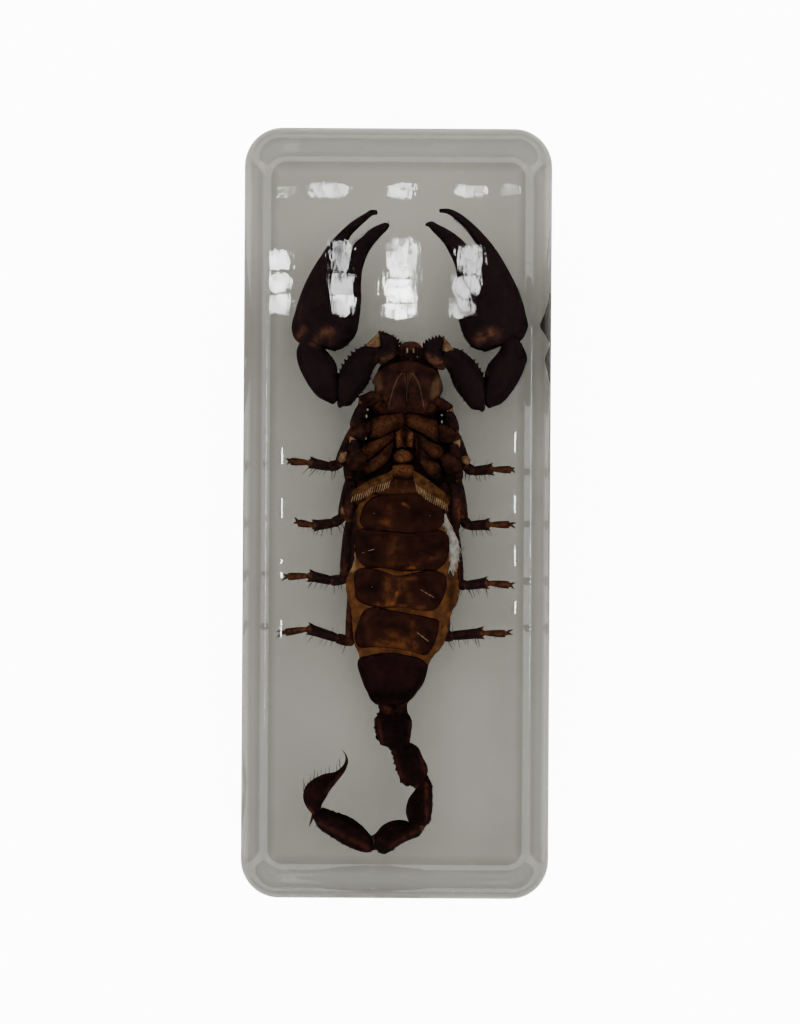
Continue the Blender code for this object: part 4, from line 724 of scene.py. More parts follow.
class ShellSettings(bpy.types.PropertyGroup):
    black: FloatVectorProperty(
        name="Black", description="Darkest colour of the shell", subtype="COLOR", size=4,
        default=(0.0072, 0.0046, 0.0053, 1.0),
    )
    deep: FloatVectorProperty(
        name="Deep", description="Shadowed gaps between the plates", subtype="COLOR", size=4,
        default=(0.0042, 0.0024, 0.0021, 1.0),
    )
    brown: FloatVectorProperty(
        name="Brown", description="Reddish brown of the shell", subtype="COLOR", size=4,
        default=(0.0135, 0.0062, 0.0068, 1.0),
    )
    amber: FloatVectorProperty(
        name="Amber", description="Thin, see-through looking places", subtype="COLOR", size=4,
        default=(0.08, 0.031, 0.0125, 1.0),
    )
    # Pale also gives the painted glints on the jaws.
    pale: FloatVectorProperty(
        name="Pale", description="Soft joints and slits", subtype="COLOR", size=4,
        default=(0.19, 0.125, 0.07, 1.0),
    )
    membrane: FloatVectorProperty(
        name="Membrane", description="Soft skin between the plates", subtype="COLOR", size=4,
        default=(0.1, 0.0385, 0.0122, 1.0),
    )
    tooth_length: FloatProperty(
        name="Tooth Length", description="Teeth along the arms", default=0.0006, unit="LENGTH"
    )
    hair_length: FloatProperty(
        name="Hair Length", description="Bristles on feet and sting", default=0.0013, unit="LENGTH"
    )
    hair_width: FloatProperty(
        name="Hair Width", description="Radius of a bristle at its foot", default=0.00005, unit="LENGTH"
    )
    comb_teeth: IntProperty(name="Comb Teeth", description="Teeth on each of the two combs", default=17)


class StudioSettings(bpy.types.PropertyGroup):
    sky: FloatProperty(name="Sky", description="Brightness of the soft light from the sides", default=4.0)
    polariser: FloatProperty(
        name="Polariser", description="Share of the sky's mirror image that is kept off the block",
        default=0.95, subtype="FACTOR",
    )
    lamp_glow: FloatProperty(name="Lamp Glow", description="Brightness of the ceiling lamps", default=60.0)
    floor_glow: FloatProperty(
        name="Floor Glow", description="Extra whiteness of the floor round the block", default=12.0
    )
    floor_colour: FloatVectorProperty(
        name="Floor", description="Colour of the studio floor", subtype="COLOR", size=4,
        default=(0.88, 0.88, 0.88, 1.0),
    )
    shade_colour: FloatVectorProperty(
        name="Shade", description="Colour of the floor seen through resin", subtype="COLOR", size=4,
        default=(0.305, 0.298, 0.264, 1.0),
    )


# ---------------------------------------------------------------------------------------------------------
# Shapes


def smooth_rows(rows, count, closed=False):
    """Rows of numbers, such as points or ribs, at even steps along a smooth curve through the given ones."""
    rows = list(rows)
    if closed:
        rows = rows[-3:] + rows + rows[:4]
    rows = np.asarray(rows, float)
    steps = np.linalg.norm(np.diff(rows[:, :3], axis=0), axis=1)
    along = np.concatenate(([0.0], np.cumsum(steps)))
    slopes = np.gradient(rows, along, axis=0)
    if closed:
        where = np.linspace(along[3], along[-4], count, endpoint=False)
    else:
        where = np.linspace(0.0, along[-1], count)
    index = np.clip(np.searchsorted(along, where, side="right") - 1, 0, len(rows) - 2)
    span = (along[index + 1] - along[index])[:, None]
    part = (where - along[index])[:, None] / span
    square, cube = part**2, part**3
    return (
        (2 * cube - 3 * square + 1) * rows[index]
        + (cube - 2 * square + part) * span * slopes[index]
        + (3 * square - 2 * cube) * rows[index + 1]
        + (cube - square) * span * slopes[index + 1]
    )


def skin(rings):
    """Points and faces of a closed skin over rings of points, with both ends drawn to a point."""
    rings = np.asarray(rings, float)
    count, sides = rings.shape[:2]
    points = np.concatenate([rings.reshape(-1, 3), rings[:1].mean(1), rings[-1:].mean(1)])
    index = np.arange(count * sides).reshape(count, sides)
    turned = np.roll(index, -1, axis=1)
    quads = np.stack([index[:-1], turned[:-1], turned[1:], index[1:]], axis=-1).reshape(-1, 4)
    first, last = count * sides, count * sides + 1
    faces = quads.tolist()
    faces += [(first, int(b), int(a)) for a, b in zip(index[0], turned[0])]
    faces += [(last, int(a), int(b)) for a, b in zip(index[-1], turned[-1])]
    return points, faces


def strokes(points, lines):
    """How strongly each point is touched by soft strokes: x, y, x, y, half width and strength."""
    plan = np.asarray(points)[..., :2]
    touched = np.zeros(plan.shape[:-1])
    for ax, ay, bx, by, width, strength in lines:
        start, reach = np.array((ax, ay)), np.array((bx - ax, by - ay))
        part = np.clip((plan - start) @ reach / max(reach @ reach, 1e-9), 0.0, 1.0)
        away = np.linalg.norm(plan - start - part[..., None] * reach, axis=-1)
        near = np.clip(1.0 - away / width, 0.0, 1.0)
        touched = np.maximum(touched, strength * near * near * (3.0 - 2.0 * near))
    return touched


def lofted(ribs, sides=36, sections=40, square=2.3, tips=(0.7, 0.7), keels=()):
    """A closed form over ribs, with keels along it."""
    rows = smooth_rows(ribs, sections)
    centre, half = (rows[:, 0:2] + rows[:, 2:4]) / 2, (rows[:, 2:4] - rows[:, 0:2]) / 2
    turn = np.linspace(0.0, 2 * math.pi, sides, endpoint=False)
    across = np.sign(np.cos(turn)) * np.abs(np.cos(turn)) ** (2 / square)
    rise = np.sign(np.sin(turn)) * np.abs(np.sin(turn)) ** (2 / square)
    swell = np.ones((sections, sides))
    along = np.linspace(0.0, 1.0, sections)[:, None]
    fade = np.clip(np.minimum(along, 1.0 - along) / KEEL_FADE, 0.0, 1.0)
    for angle, height, width, beads in keels:
        off = (turn - math.radians(angle) + math.pi) % (2 * math.pi) - math.pi
        bead = 1.0 if not beads else 0.65 + 0.35 * np.cos(2 * math.pi * beads * along)
        swell += height * np.exp(-((off / math.radians(width)) ** 2))[None] * bead * fade
    rings = np.empty((sections, sides, 3))
    rings[..., :2] = centre[:, None] + half[:, None] * (across[None] * swell)[..., None]
    depth = np.where(rise > 0, rows[:, 5:6], rows[:, 6:7])
    rings[..., 2] = rows[:, 4:5] + depth * rise * swell
    near, far = [], []
    for lean in DOME_DEGREES:
        near.append(rounded_end(rings[0], centre[0] - centre[1], tips[0], math.radians(lean)))
        far.insert(0, rounded_end(rings[-1], centre[-1] - centre[-2], tips[1], math.radians(lean)))
    return skin(np.concatenate([near, rings, far]))


def rounded_end(ring, heading, reach, lean):
    """A ring moved out past an end and drawn in, as on a dome."""
    middle = ring.mean(0)
    out = np.array((*(heading / max(np.linalg.norm(heading), 1e-9)), 0.0))
    return middle + (ring - middle) * math.cos(lean) + out * reach * math.sin(lean)


def pad(corners, surface, rise, drop, square=3.0, around=56, rings=9, grooves=(), rim=0.0):
    """A domed plate with this outline that lies on a surface, with a raised rim just inside its edge."""
    edge = smooth_rows(corners, around, closed=True)
    middle = edge.mean(0)
    shares = np.sin(np.linspace(0.0, math.pi / 2, rings + 1)[1:])
    made = []
    for sign, steps in ((1, shares), (-1, shares[-2::-1])):
        for share in steps:
            plan = middle + (edge - middle) * share
            height = (1.0 - share**square) ** (1.0 / square)
            z = surface(plan) + (rise * height if sign > 0 else -drop * height)
            if sign > 0:
                lip = math.exp(-(((share - RIM_PLACE) / RIM_WIDTH) ** 2))
                z += rim * lip - strokes(plan, grooves) * height
            made.append(np.column_stack([plan, z]))
    return skin(made)


def level_pads(outlines, height, rise, square=3.0):
    """Plates at one height, as thick above it as below."""
    return [pad(corners, level(height), rise, rise, square=square) for corners in outlines]


def spread(corners, share):
    """An outline made larger about its middle."""
    middle = np.mean(corners, axis=0)
    return [tuple(middle + (np.array(corner) - middle) * share) for corner in corners]


def outline_shade_strokes(corners, width, strength):
    """Colour strokes along a plate's outline, used as painted shade at its edges."""
    return [(*near, *far, width, strength) for near, far in zip(corners, corners[1:] + corners[:1])]


def level(height):
    """A flat surface for pads."""
    return lambda plan: np.full(len(plan), height)


def body_side(side):
    """The body's skin above (side 1) or below (side -1) each plan point, as a surface for pads."""
    rows = smooth_rows(BODY, BODY_SECTIONS)[::-1]
    y = (rows[:, 1] + rows[:, 3]) / 2
    x, half = (rows[:, 0] + rows[:, 2]) / 2, (rows[:, 2] - rows[:, 0]) / 2
    depth = rows[:, 5] if side > 0 else rows[:, 6]

    def height(plan):
        across = np.abs(plan[:, 0] - np.interp(plan[:, 1], y, x)) / np.interp(plan[:, 1], y, half)
        bow = (1.0 - np.clip(across, 0.0, 0.995) ** BODY_SQUARE) ** (1 / BODY_SQUARE)
        return np.interp(plan[:, 1], y, rows[:, 4]) + side * np.interp(plan[:, 1], y, depth) * bow

    return height


def body_outline(front, rear, inset):
    """The trunk's outline between two places along it, for a plate that reaches nearly to its sides."""
    rows = smooth_rows(BODY, BODY_SECTIONS)
    places = (rows[:, 1] + rows[:, 3]) / 2
    picked = (places < front) & (places > rear)
    left = [(x + inset, y) for x, y in zip(rows[picked, 0], places[picked])]
    right = [(x - inset, y) for x, y in zip(rows[picked, 2], places[picked])]
    step = max(1, len(left) // 5)
    return left[::step] + right[::-1][::step]


def tube_ribs(line, widths, heights):
    """Ribs across a line of points, with half widths in plan and half heights."""
    line = np.asarray(line, float)
    heading = np.gradient(line[:, :2], axis=0)
    heading /= np.linalg.norm(heading, axis=1)[:, None]
    aside = np.column_stack([-heading[:, 1], heading[:, 0]]) * np.asarray(widths)[:, None]
    return np.column_stack([line[:, :2] + aside, line[:, :2] - aside, line[:, 2], heights, heights])


def edge_ribs(left, right, z, depths, count=9):
    """Ribs between two edges, with half depths spread along them."""
    left, right = smooth_rows(left, count), smooth_rows(right, count)
    depth = np.interp(np.linspace(0, 1, count), np.linspace(0, 1, len(depths)), depths)
    return np.column_stack([left, right, np.full(count, z), depth, depth])


def mirrored(ribs):
    """The same limb on the animal's other side."""
    return [
        (2 * ARM_MIDDLE - rx, ry - ARM_SHIFT, 2 * ARM_MIDDLE - lx, ly - ARM_SHIFT, *rest)
        for lx, ly, rx, ry, *rest in ribs
    ]


def ring_at(point, radius, count=8):
    """Corners of a circle round a point."""
    turns = np.linspace(0, 2 * math.pi, count, endpoint=False)
    return [(point[0] + radius * math.cos(turn), point[1] + radius * math.sin(turn)) for turn in turns]


def rounded_rectangle(half_width, half_length, radius, z, steps=12):
    """Points round an upright-cornered rectangle."""
    points = []
    for quarter, (side, end) in enumerate(((1, 1), (-1, 1), (-1, -1), (1, -1))):
        for step in range(steps + 1):
            turn = math.pi / 2 * (quarter + step / steps)
            points.append((
                side * (half_width - radius) + radius * math.cos(turn),
                end * (half_length - radius) + radius * math.sin(turn),
                z,
            ))
    return points


def leg_points(name):
    """A leg's joints and the tips of its claws, each at its height in the block."""
    return [(x, y, z) for (x, y), z in zip(LEGS[name], LEG_HEIGHTS[name[-1]] + FOOT_HEIGHTS)]


def leg_amber(joints):
    """Colour strokes on a leg: its reddish foot, and its thin places next to the joints."""
    thigh, knee, heel, toe = (joint[:2] for joint in joints[2:6])
    lines = [(*heel, *(heel + (toe - heel) * 0.2), 0.9, 0.9), (*heel, *toe, 1.1, 0.5)]
    return lines + [(*knee, *knee, 0.6, 0.4), (*thigh, *thigh, 0.8, 0.25)]


# ---------------------------------------------------------------------------------------------------------
# Pieces


def keep(piece, material):
    """Hangs a piece made from points and faces on the model, in the scorpion's place."""
    bpy.context.scene.collection.objects.link(piece)
    piece.data.materials.clear()
    piece.data.materials.append(material)
    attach(piece, BODY_PART)
    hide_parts("scorpion")


def make_piece(name, forms, material, amber=(), pale=(), dark=()):
    """One object from several closed forms, with its tints put on as attributes: painted glints and shade
    among them.
    """
    points = np.concatenate([form[0] for form in forms])
    faces, start = [], 0
    for form_points, form_faces in forms:
        faces += [tuple(start + corner for corner in face) for face in form_faces]
        start += len(form_points)
    mesh = bpy.data.meshes.new(name)
    mesh.from_pydata((points * MM).tolist(), [], faces)
    made = bmesh.new()
    made.from_mesh(mesh)
    bmesh.ops.recalc_face_normals(made, faces=made.faces)
    made.to_mesh(mesh)
    made.free()
    mesh.shade_smooth()
    for label, lines in (("amber", amber), ("pale", pale), ("dark", dark)):
        painted = mesh.attributes.new(label, "FLOAT", "POINT").data
        painted.foreach_set("value", strokes(points, lines).astype(np.float32))
    keep(bpy.data.objects.new(name, mesh), material)


def make_spikes(name, rows, material, foot, tip, length, variation, seed):
    """Spikes turned into a plain mesh piece. A row is a spike's foot, the way it leans and its size."""
    feet, leans, sizes = zip(*rows)
    mesh = bpy.data.meshes.new(name + "_feet")
    mesh.from_pydata((np.asarray(feet) * MM).tolist(), [], [])
    lean = mesh.attributes.new("lean", "FLOAT_VECTOR", "POINT").data
    lean.foreach_set("vector", np.asarray(leans, np.float32).ravel())
    mesh.attributes.new("size", "FLOAT", "POINT").data.foreach_set("value", np.asarray(sizes, np.float32))
    holder = bpy.data.objects.new(name + "_holder", mesh)
    bpy.context.scene.collection.objects.link(holder)
    modifier = holder.modifiers.new("spikes", "NODES")
    modifier.node_group = spike_tree()
    values = {
        "Foot Radius": foot, "Tip Radius": tip, "Length": length, "Variation": variation, "Seed": seed,
        "Material": material,
    }
    for item in modifier.node_group.interface.items_tree:
        if item.in_out == "INPUT" and item.name in values:
            modifier[item.identifier] = values[item.name]
    depsgraph = bpy.context.evaluated_depsgraph_get()
    solid = bpy.data.meshes.new_from_object(holder.evaluated_get(depsgraph), depsgraph=depsgraph)
    bpy.data.objects.remove(holder)
    solid.name = name
    keep(bpy.data.objects.new(name, solid), material)


def bristle_rows(near, far, wide, count, reach, chance):
    """Bristles along both edges of a leg part, most of them on its rear edge."""
    heading = (far - near)[:2] / np.linalg.norm((far - near)[:2])
    aside = np.array((-heading[1], heading[0]))
    if aside[1] > 0:
        aside = -aside
    rows = []
    for step in range(count):
        side = 1.0 if step % 3 else -1.0
        share = (step + chance.uniform(0.0, 0.9)) / count
        x, y = near[:2] + (far - near)[:2] * share + aside * side * wide * 0.8
        lean = aside * side + heading * chance.uniform(-0.1, 0.7)
        z = near[2] + (far[2] - near[2]) * share + chance.uniform(-0.4, 0.4)
        lean = (*lean, chance.uniform(-0.3, 0.3))
        rows.append(((x, y, z), lean, reach * chance.uniform(0.6, 1.6) * (1.0 if side > 0 else 0.6)))
    return rows


# ---------------------------------------------------------------------------------------------------------
# Nodes


def wired(tree, kind, inputs=(), output=0, **options):
    """One output of a new node, whose inputs are given as sockets to link or as plain values."""
    made = tree.nodes.new(kind)
    for label, value in options.items():
        setattr(made, label, value)
    for label, value in inputs.items() if isinstance(inputs, dict) else enumerate(inputs):
        if isinstance(value, bpy.types.NodeSocket):
            tree.links.new(value, made.inputs[label])
        else:
            made.inputs[label].default_value = value
    return made.outputs[output]


def worked(tree, operation, *values, **options):
    """A sum, product or other working of sockets and numbers."""
    return wired(tree, "ShaderNodeMath", values, operation=operation, **options)


def noise_at(tree, place, scale, detail, rough=0.5, distortion=0.0):
    """Noise in space, from about 0 to 1."""
    values = {"Vector": place, "Scale": scale, "Detail": detail, "Roughness": rough, "Distortion": distortion}
    return wired(tree, "ShaderNodeTexNoise", values, "Fac")


def ranged(tree, value, low, high, to_low=0.0, to_high=1.0, easing="SMOOTHSTEP"):
    """A value's way from low to high, told as the way from another low to another high."""
    values = {"Value": value, "From Min": low, "From Max": high, "To Min": to_low, "To Max": to_high}
    return wired(tree, "ShaderNodeMapRange", values, "Result", interpolation_type=easing)


def mixed(tree, factor, first, second, blend="MIX"):
    """Two colours mixed by a factor."""
    values = {"Factor": factor, "A": first, "B": second}
    return wired(tree, "ShaderNodeMix", values, "Result", data_type="RGBA", blend_type=blend)


def greys(tree, value, stops):
    """A ramp of greys, from their brightness at each position."""
    colour = wired(tree, "ShaderNodeValToRGB", {"Fac": value}, "Color")
    places, elements = sorted(stops), colour.node.color_ramp.elements
    elements[0].position, elements[1].position = places[0], places[-1]
    for place in places[1:-1]:
        elements.new(place)
    for place, element in zip(places, elements):
        element.color = (stops[place],) * 3 + (1.0,)
    return colour


def axes(tree, vector):
    """A vector's x, y and z."""
    return wired(tree, "ShaderNodeSeparateXYZ", (vector,)).node.outputs


def add_sockets(tree, given, made):
    """The inputs and outputs of a node group: names and kinds, and for inputs also their defaults."""
    for name, kind, default in given:
        put = tree.interface.new_socket(name=name, in_out="INPUT", socket_type="NodeSocket" + kind)
        if default is not None:
            put.default_value = default
    for name, kind in made:
        tree.interface.new_socket(name=name, in_out="OUTPUT", socket_type="NodeSocket" + kind)
    return tree.nodes.new("NodeGroupInput").outputs, tree.nodes.new("NodeGroupOutput").inputs


def spike_tree():
    """Geometry Nodes: one spike or peg on every point, leaning the way the point's 'lean' says."""
    if "spikes" in bpy.data.node_groups:
        return bpy.data.node_groups["spikes"]
    tree = bpy.data.node_groups.new("spikes", "GeometryNodeTree")
    given, result = add_sockets(tree, SPIKE_INPUTS, [("Geometry", "Geometry")])
    sizes = {"Vertices": 6, "Side Segments": 2, "Depth": given["Length"]}
    sizes |= {"Radius Bottom": given["Foot Radius"], "Radius Top": given["Tip Radius"]}
    cone = wired(tree, "GeometryNodeMeshCone", sizes, "Mesh")
    attribute = "GeometryNodeInputNamedAttribute"
    lean = wired(tree, attribute, {"Name": "lean"}, "Attribute", data_type="FLOAT_VECTOR")
    turn = wired(tree, "FunctionNodeAlignRotationToVector", {"Vector": lean}, "Rotation", axis="Z")
    size = wired(tree, attribute, {"Name": "size"}, "Attribute", data_type="FLOAT")
    low = worked(tree, "SUBTRACT", 1.0, given["Variation"])
    high = worked(tree, "ADD", 1.0, given["Variation"])
    limits = {2: low, 3: high, "Seed": given["Seed"]}
    vary = wired(tree, "FunctionNodeRandomValue", limits, 1, data_type="FLOAT")
    stood = {"Points": given["Geometry"], "Instance": cone, "Rotation": turn}
    stood["Scale"] = worked(tree, "MULTIPLY", vary, size)
    spikes = wired(tree, "GeometryNodeInstanceOnPoints", stood, "Instances")
    spikes = wired(tree, "GeometryNodeRealizeInstances", {"Geometry": spikes}, "Geometry")
    painted = {"Geometry": spikes, "Material": given["Material"]}
    tree.links.new(wired(tree, "GeometryNodeSetMaterial", painted, "Geometry"), result["Geometry"])
    return tree


# ---------------------------------------------------------------------------------------------------------
# Materials


def new_material(name):
    """A material with its node tree and its Principled BSDF's inputs."""
    material = bpy.data.materials.new(name)
    material.use_nodes = True
    return material, material.node_tree, material.node_tree.nodes["Principled BSDF"].inputs


def shell_pattern():
    """Shader group: mottled shell with painted amber, pale and dark places, and a fine grain."""
    if "shell pattern" in bpy.data.node_groups:
        return bpy.data.node_groups["shell pattern"]
    tree = bpy.data.node_groups.new("shell pattern", "ShaderNodeTree")
    outputs = [("Color", "Color"), ("Roughness", "Float"), ("Height", "Float")]
    given, result = add_sockets(tree, SHELL_INPUTS, outputs)
    place = wired(tree, "ShaderNodeTexCoord", output="Object")
    amber, pale, dark = (
        wired(tree, "ShaderNodeAttribute", output="Fac", attribute_name=name)
        for name in ("amber", "pale", "dark")
    )
    patches = noise_at(tree, place, given["Patch Scale"], 5.0, 0.62)
    grain = noise_at(tree, place, given["Grain Scale"], 3.0, 0.55)
    broken = ranged(tree, noise_at(tree, place, given["Speck Scale"], 4.0, 0.6), 0.36, 0.64, 0.25, 1.4)
    mottle = worked(tree, "MULTIPLY", ranged(tree, patches, 0.35, 0.72), given["Mottle"])
    colour = mixed(tree, mottle, given["Black"], given["Brown"])
    colour = mixed(tree, worked(tree, "MULTIPLY", amber, broken), colour, given["Amber"])
    # Pale places, among them painted glints, and deep places, among them painted shade in the gaps between
    # plates.
    colour = mixed(tree, pale, colour, given["Pale"])
    colour = mixed(tree, dark, colour, given["Deep"])
    rough = worked(tree, "ADD", ranged(tree, grain, 0.3, 0.7, -0.08, 0.12), given["Polish"])
    for made, label in ((colour, "Color"), (rough, "Roughness"), (grain, "Height")):
        tree.links.new(made, result[label])
    return tree


def finish(name, settings):
    """A finish of the animal, made once and shared by the pieces that carry it."""
    if name in bpy.data.materials:
        return bpy.data.materials[name]
    row = {**PLAIN_FINISH, **FINISHES[name]}
    relief = row.pop("Relief")
    for label, value in row.items():
        if isinstance(value, str):
            row[label] = getattr(settings, value)
        elif isinstance(value, tuple):
            row[label] = (*value, 1.0)
    material, tree, shader = new_material(name)
    pattern = tree.nodes.new("ShaderNodeGroup")
    pattern.node_tree = shell_pattern()
    for label, value in row.items():
        pattern.inputs[label].default_value = value
    bumps = {"Strength": 0.6, "Distance": relief, "Height": pattern.outputs["Height"]}
    tree.links.new(pattern.outputs["Color"], shader["Base Color"])
    tree.links.new(pattern.outputs["Roughness"], shader["Roughness"])
    tree.links.new(wired(tree, "ShaderNodeBump", bumps, "Normal"), shader["Normal"])
    shader["IOR"].default_value = SHELL_IOR
    shader["Specular IOR Level"].default_value = 0.0
    return material


def floor_material(settings, block):
    """A matt pale floor, which shows grey through the resin, with painted shade under the block's rim."""
    material, tree, shader = new_material("floor")
    place = axes(tree, wired(tree, "ShaderNodeTexCoord", output="Object"))
    far_end = ranged(tree, place["Y"], *(share * block.length for share in FAR_END))
    far_shade = tuple(channel * FAR_SHADE for channel in settings.shade_colour[:3]) + (1.0,)
    shade = mixed(tree, far_end, settings.shade_colour, far_shade)
    near_edge = []
    for axis, size in (("X", block.width), ("Y", block.length)):
        away = worked(tree, "ABSOLUTE", place[axis])
        inner = size / 2 - RIM_REACH * block.edge_radius
        near_edge.append(ranged(tree, away, inner, size / 2, easing="LINEAR"))
    rim = greys(tree, worked(tree, "MAXIMUM", *near_edge), RIM_SHADE)
    shade = mixed(tree, 1.0, shade, rim, "MULTIPLY")
    path = tree.nodes.new("ShaderNodeLightPath").outputs
    in_resin = worked(tree, "MAXIMUM", path["Is Transmission Ray"], path["Is Glossy Ray"])
    glow = worked(tree, "MULTIPLY", path["Is Camera Ray"], settings.floor_glow)
    tree.links.new(mixed(tree, in_resin, settings.floor_colour, shade), shader["Base Color"])
    tree.links.new(glow, shader["Emission Strength"])
    shader["Emission Color"].default_value = settings.floor_colour
    shader["Roughness"].default_value = 0.9
    return material


def wear_lamp(light, width, length, number):
    """Frays a lamp's outline and breaks up its brightness, as fine wear does to its mirror image in resin."""
    light.use_nodes = True
    tree = light.node_tree
    spot = wired(tree, "ShaderNodeNewGeometry", output="Parametric")
    sizes = {"Scale": (width, length, 1.0), "Location": (-width / 2, -length / 2, float(number))}
    sized = wired(tree, "ShaderNodeMapping", {"Vector": spot, **sizes})
    slant = {"Rotation": (0.0, 0.0, 0.5), "Scale": (1.5, 0.35, 1.0)}
    slanted = wired(tree, "ShaderNodeMapping", {"Vector": sized, **slant})
    fray = noise_at(tree, slanted, 1.1, 4.0, 0.65, 0.6)
    reach = []
    for axis, size in (("X", width), ("Y", length)):
        away = worked(tree, "ABSOLUTE", axes(tree, sized)[axis])
        reach.append(worked(tree, "POWER", worked(tree, "MULTIPLY", away, 2 / size), 3.0))
    frayed = worked(tree, "MULTIPLY_ADD", fray, 5.0, worked(tree, "ADD", *reach))
    edge, broken = ranged(tree, frayed, 3.35, 3.0), ranged(tree, fray, 0.6, 0.42, 0.15, 1.2)
    tree.links.new(worked(tree, "MULTIPLY", edge, broken), tree.nodes["Emission"].inputs["Strength"])


def resin_material(settings):
    """Clear resin with a faint tint, and fine streaks over the middle and the far end of its faces."""
    material, tree, shader = new_material("clear_resin")
    clear = {"Base Color": WHITE, "Roughness": 0.0, "Transmission Weight": 1.0, "IOR": RESIN_IOR}
    for label, value in clear.items():
        shader[label].default_value = value
    place = wired(tree, "ShaderNodeTexCoord", output="Object")
    slant = {"Rotation": (0.0, 0.0, 0.35), "Scale": (1.0, 0.3, 1.0)}
    slanted = wired(tree, "ShaderNodeMapping", {"Vector": place, **slant})
    streaks, scratches = noise_at(tree, slanted, 1100.0, 2.0), noise_at(tree, slanted, 3200.0, 3.0)
    uneven = worked(tree, "MULTIPLY_ADD", scratches, SCRATCH_SHARE, streaks)
    uneven = worked(tree, "SUBTRACT", uneven, 0.5 * (1.0 + SCRATCH_SHARE))
    split = axes(tree, place)
    inner = ranged(tree, worked(tree, "ABSOLUTE", split["X"]), *WORN_INSIDE)
    most = worked(tree, "MAXIMUM", inner, ranged(tree, split["Y"], *WORN_BEYOND))
    bumps = {"Strength": 1.0, "Distance": STREAK_DEPTH, "Height": worked(tree, "MULTIPLY", uneven, most)}
    tree.links.new(wired(tree, "ShaderNodeBump", bumps, "Normal"), shader["Normal"])
    tinted = {"Color": settings.tint, "Density": settings.tint_density}
    absorb = wired(tree, "ShaderNodeVolumeAbsorption", tinted)
    tree.links.new(absorb, tree.nodes["Material Output"].inputs["Volume"])
    return material


# ---------------------------------------------------------------------------------------------------------
# Operators


class BuildResin(bpy.types.Operator):
    """Builds the clear resin block with its rounded edges"""

    bl_idname = "scorpion.build_resin"
    bl_label = "Resin Block"

    def execute(self, context):
        settings = context.scene.scorpion_resin
        half_width, half_length, corner = settings.width / 2, settings.length / 2, settings.corner_radius
        edge, top = settings.edge_radius, settings.thickness
        flat = 0.0004  # an extra ring just inside each rounded edge keeps the flat faces flat
        turns = [math.pi / 2 * step / EDGE_STEPS for step in range(EDGE_STEPS + 1)]
        curve = [(edge * (1 - math.sin(turn)), edge * (1 - math.cos(turn))) for turn in turns]
        side = [(0.0, edge + flat), (0.0, top / 2), (0.0, top - edge - flat)]
        rounded_top = [(inset, top - z) for inset, z in reversed(curve)]
        profile = [(edge + flat, 0.0), *curve, *side, *rounded_top, (edge + flat, top)]
        rings = [
            rounded_rectangle(half_width - inset, half_length - inset, corner - inset, z)
            for inset, z in profile
        ]
        count, last = len(rings[0]), len(rings) - 1
        faces = []
        for low in range(0, last * count, count):
            for k in range(count):
                beside, high = (k + 1) % count, low + count
                faces.append((low + k, low + beside, high + beside, high + k))
        faces += [tuple(reversed(range(count))), tuple(range(last * count, (last + 1) * count))]
        mesh = bpy.data.meshes.new("resin_block")
        mesh.from_pydata([point for ring in rings for point in ring], [], faces)
        mesh.shade_smooth()
        mesh.materials.append(resin_material(settings))
        block = bpy.data.objects.new("resin_block", mesh)
        context.scene.collection.objects.link(block)
        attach(block, BODY_PART)
        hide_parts("resin_lower_half", "resin_upper_half")
        return {"FINISHED"}


class BuildBody(bpy.types.Operator):
    """Builds the soft body wall, with its creased, pale sides and the torn tissue that hangs there"""

    bl_idname = "scorpion.build_body"
    bl_label = "Body Wall"

    def execute(self, context):
        settings = context.scene.scorpion_shell
        wall = lofted(BODY, sides=72, sections=170, square=BODY_SQUARE, tips=(1.5, 0.8), keels=BODY_CREASES)
        # Its dark strokes include painted shade in the gaps between the plates.
        make_piece("body_wall", [wall], finish("soft_skin", settings), pale=WALL_PALE, dark=WALL_DARK)
        belly, chance = body_side(1), np.random.default_rng(7)

        def flap(plan):
            return np.maximum(belly(plan), TISSUE_HEIGHT)

        torn = [pad(corners, flap, 0.45, 0.6, square=2.4, around=70) for corners in TORN_TISSUE]
        make_piece("torn_tissue", torn, finish("tissue", settings))
        stood = []
        for corners in TORN_TISSUE:
            for x, y in smooth_rows(corners, 90, closed=True):
                foot = (x, y, flap(np.array([[x, y]]))[0] + 0.1)
                stood.append((foot, (chance.normal(0.1, 0.35), -1.0, chance.normal(0.0, 0.2))))
        rows = [(*row, size) for row, size in zip(stood, chance.uniform(0.5, 1.2, len(stood)))]
        make_spikes(
            "tissue_fibres", rows, finish("tissue", settings),
            foot=0.00009, tip=0.00003, length=0.0011, variation=0.3, seed=21,
        )
        return {"FINISHED"}


class BuildBackPlates(bpy.types.Operator):
    """Builds the head shield and the seven back plates, on the side that faces down"""

    bl_idname = "scorpion.build_back_plates"
    bl_label = "Back Plates"

    def execute(self, context):
        back, shell = body_side(-1), finish("black_shell", context.scene.scorpion_shell)
        shield = pad(body_outline(*HEAD_SHIELD, 0.5), back, 0.6, 0.7, square=4.0, around=96, rings=14)
        make_piece("head_shield", [shield], shell)
        outlines = [body_outline(front, rear, 0.8) for front, rear in TERGITES]
        plates = [pad(corners, back, 0.6, 0.45, square=5.0, around=80) for corners in outlines]
        make_piece("back_plates", plates, shell)
        return {"FINISHED"}


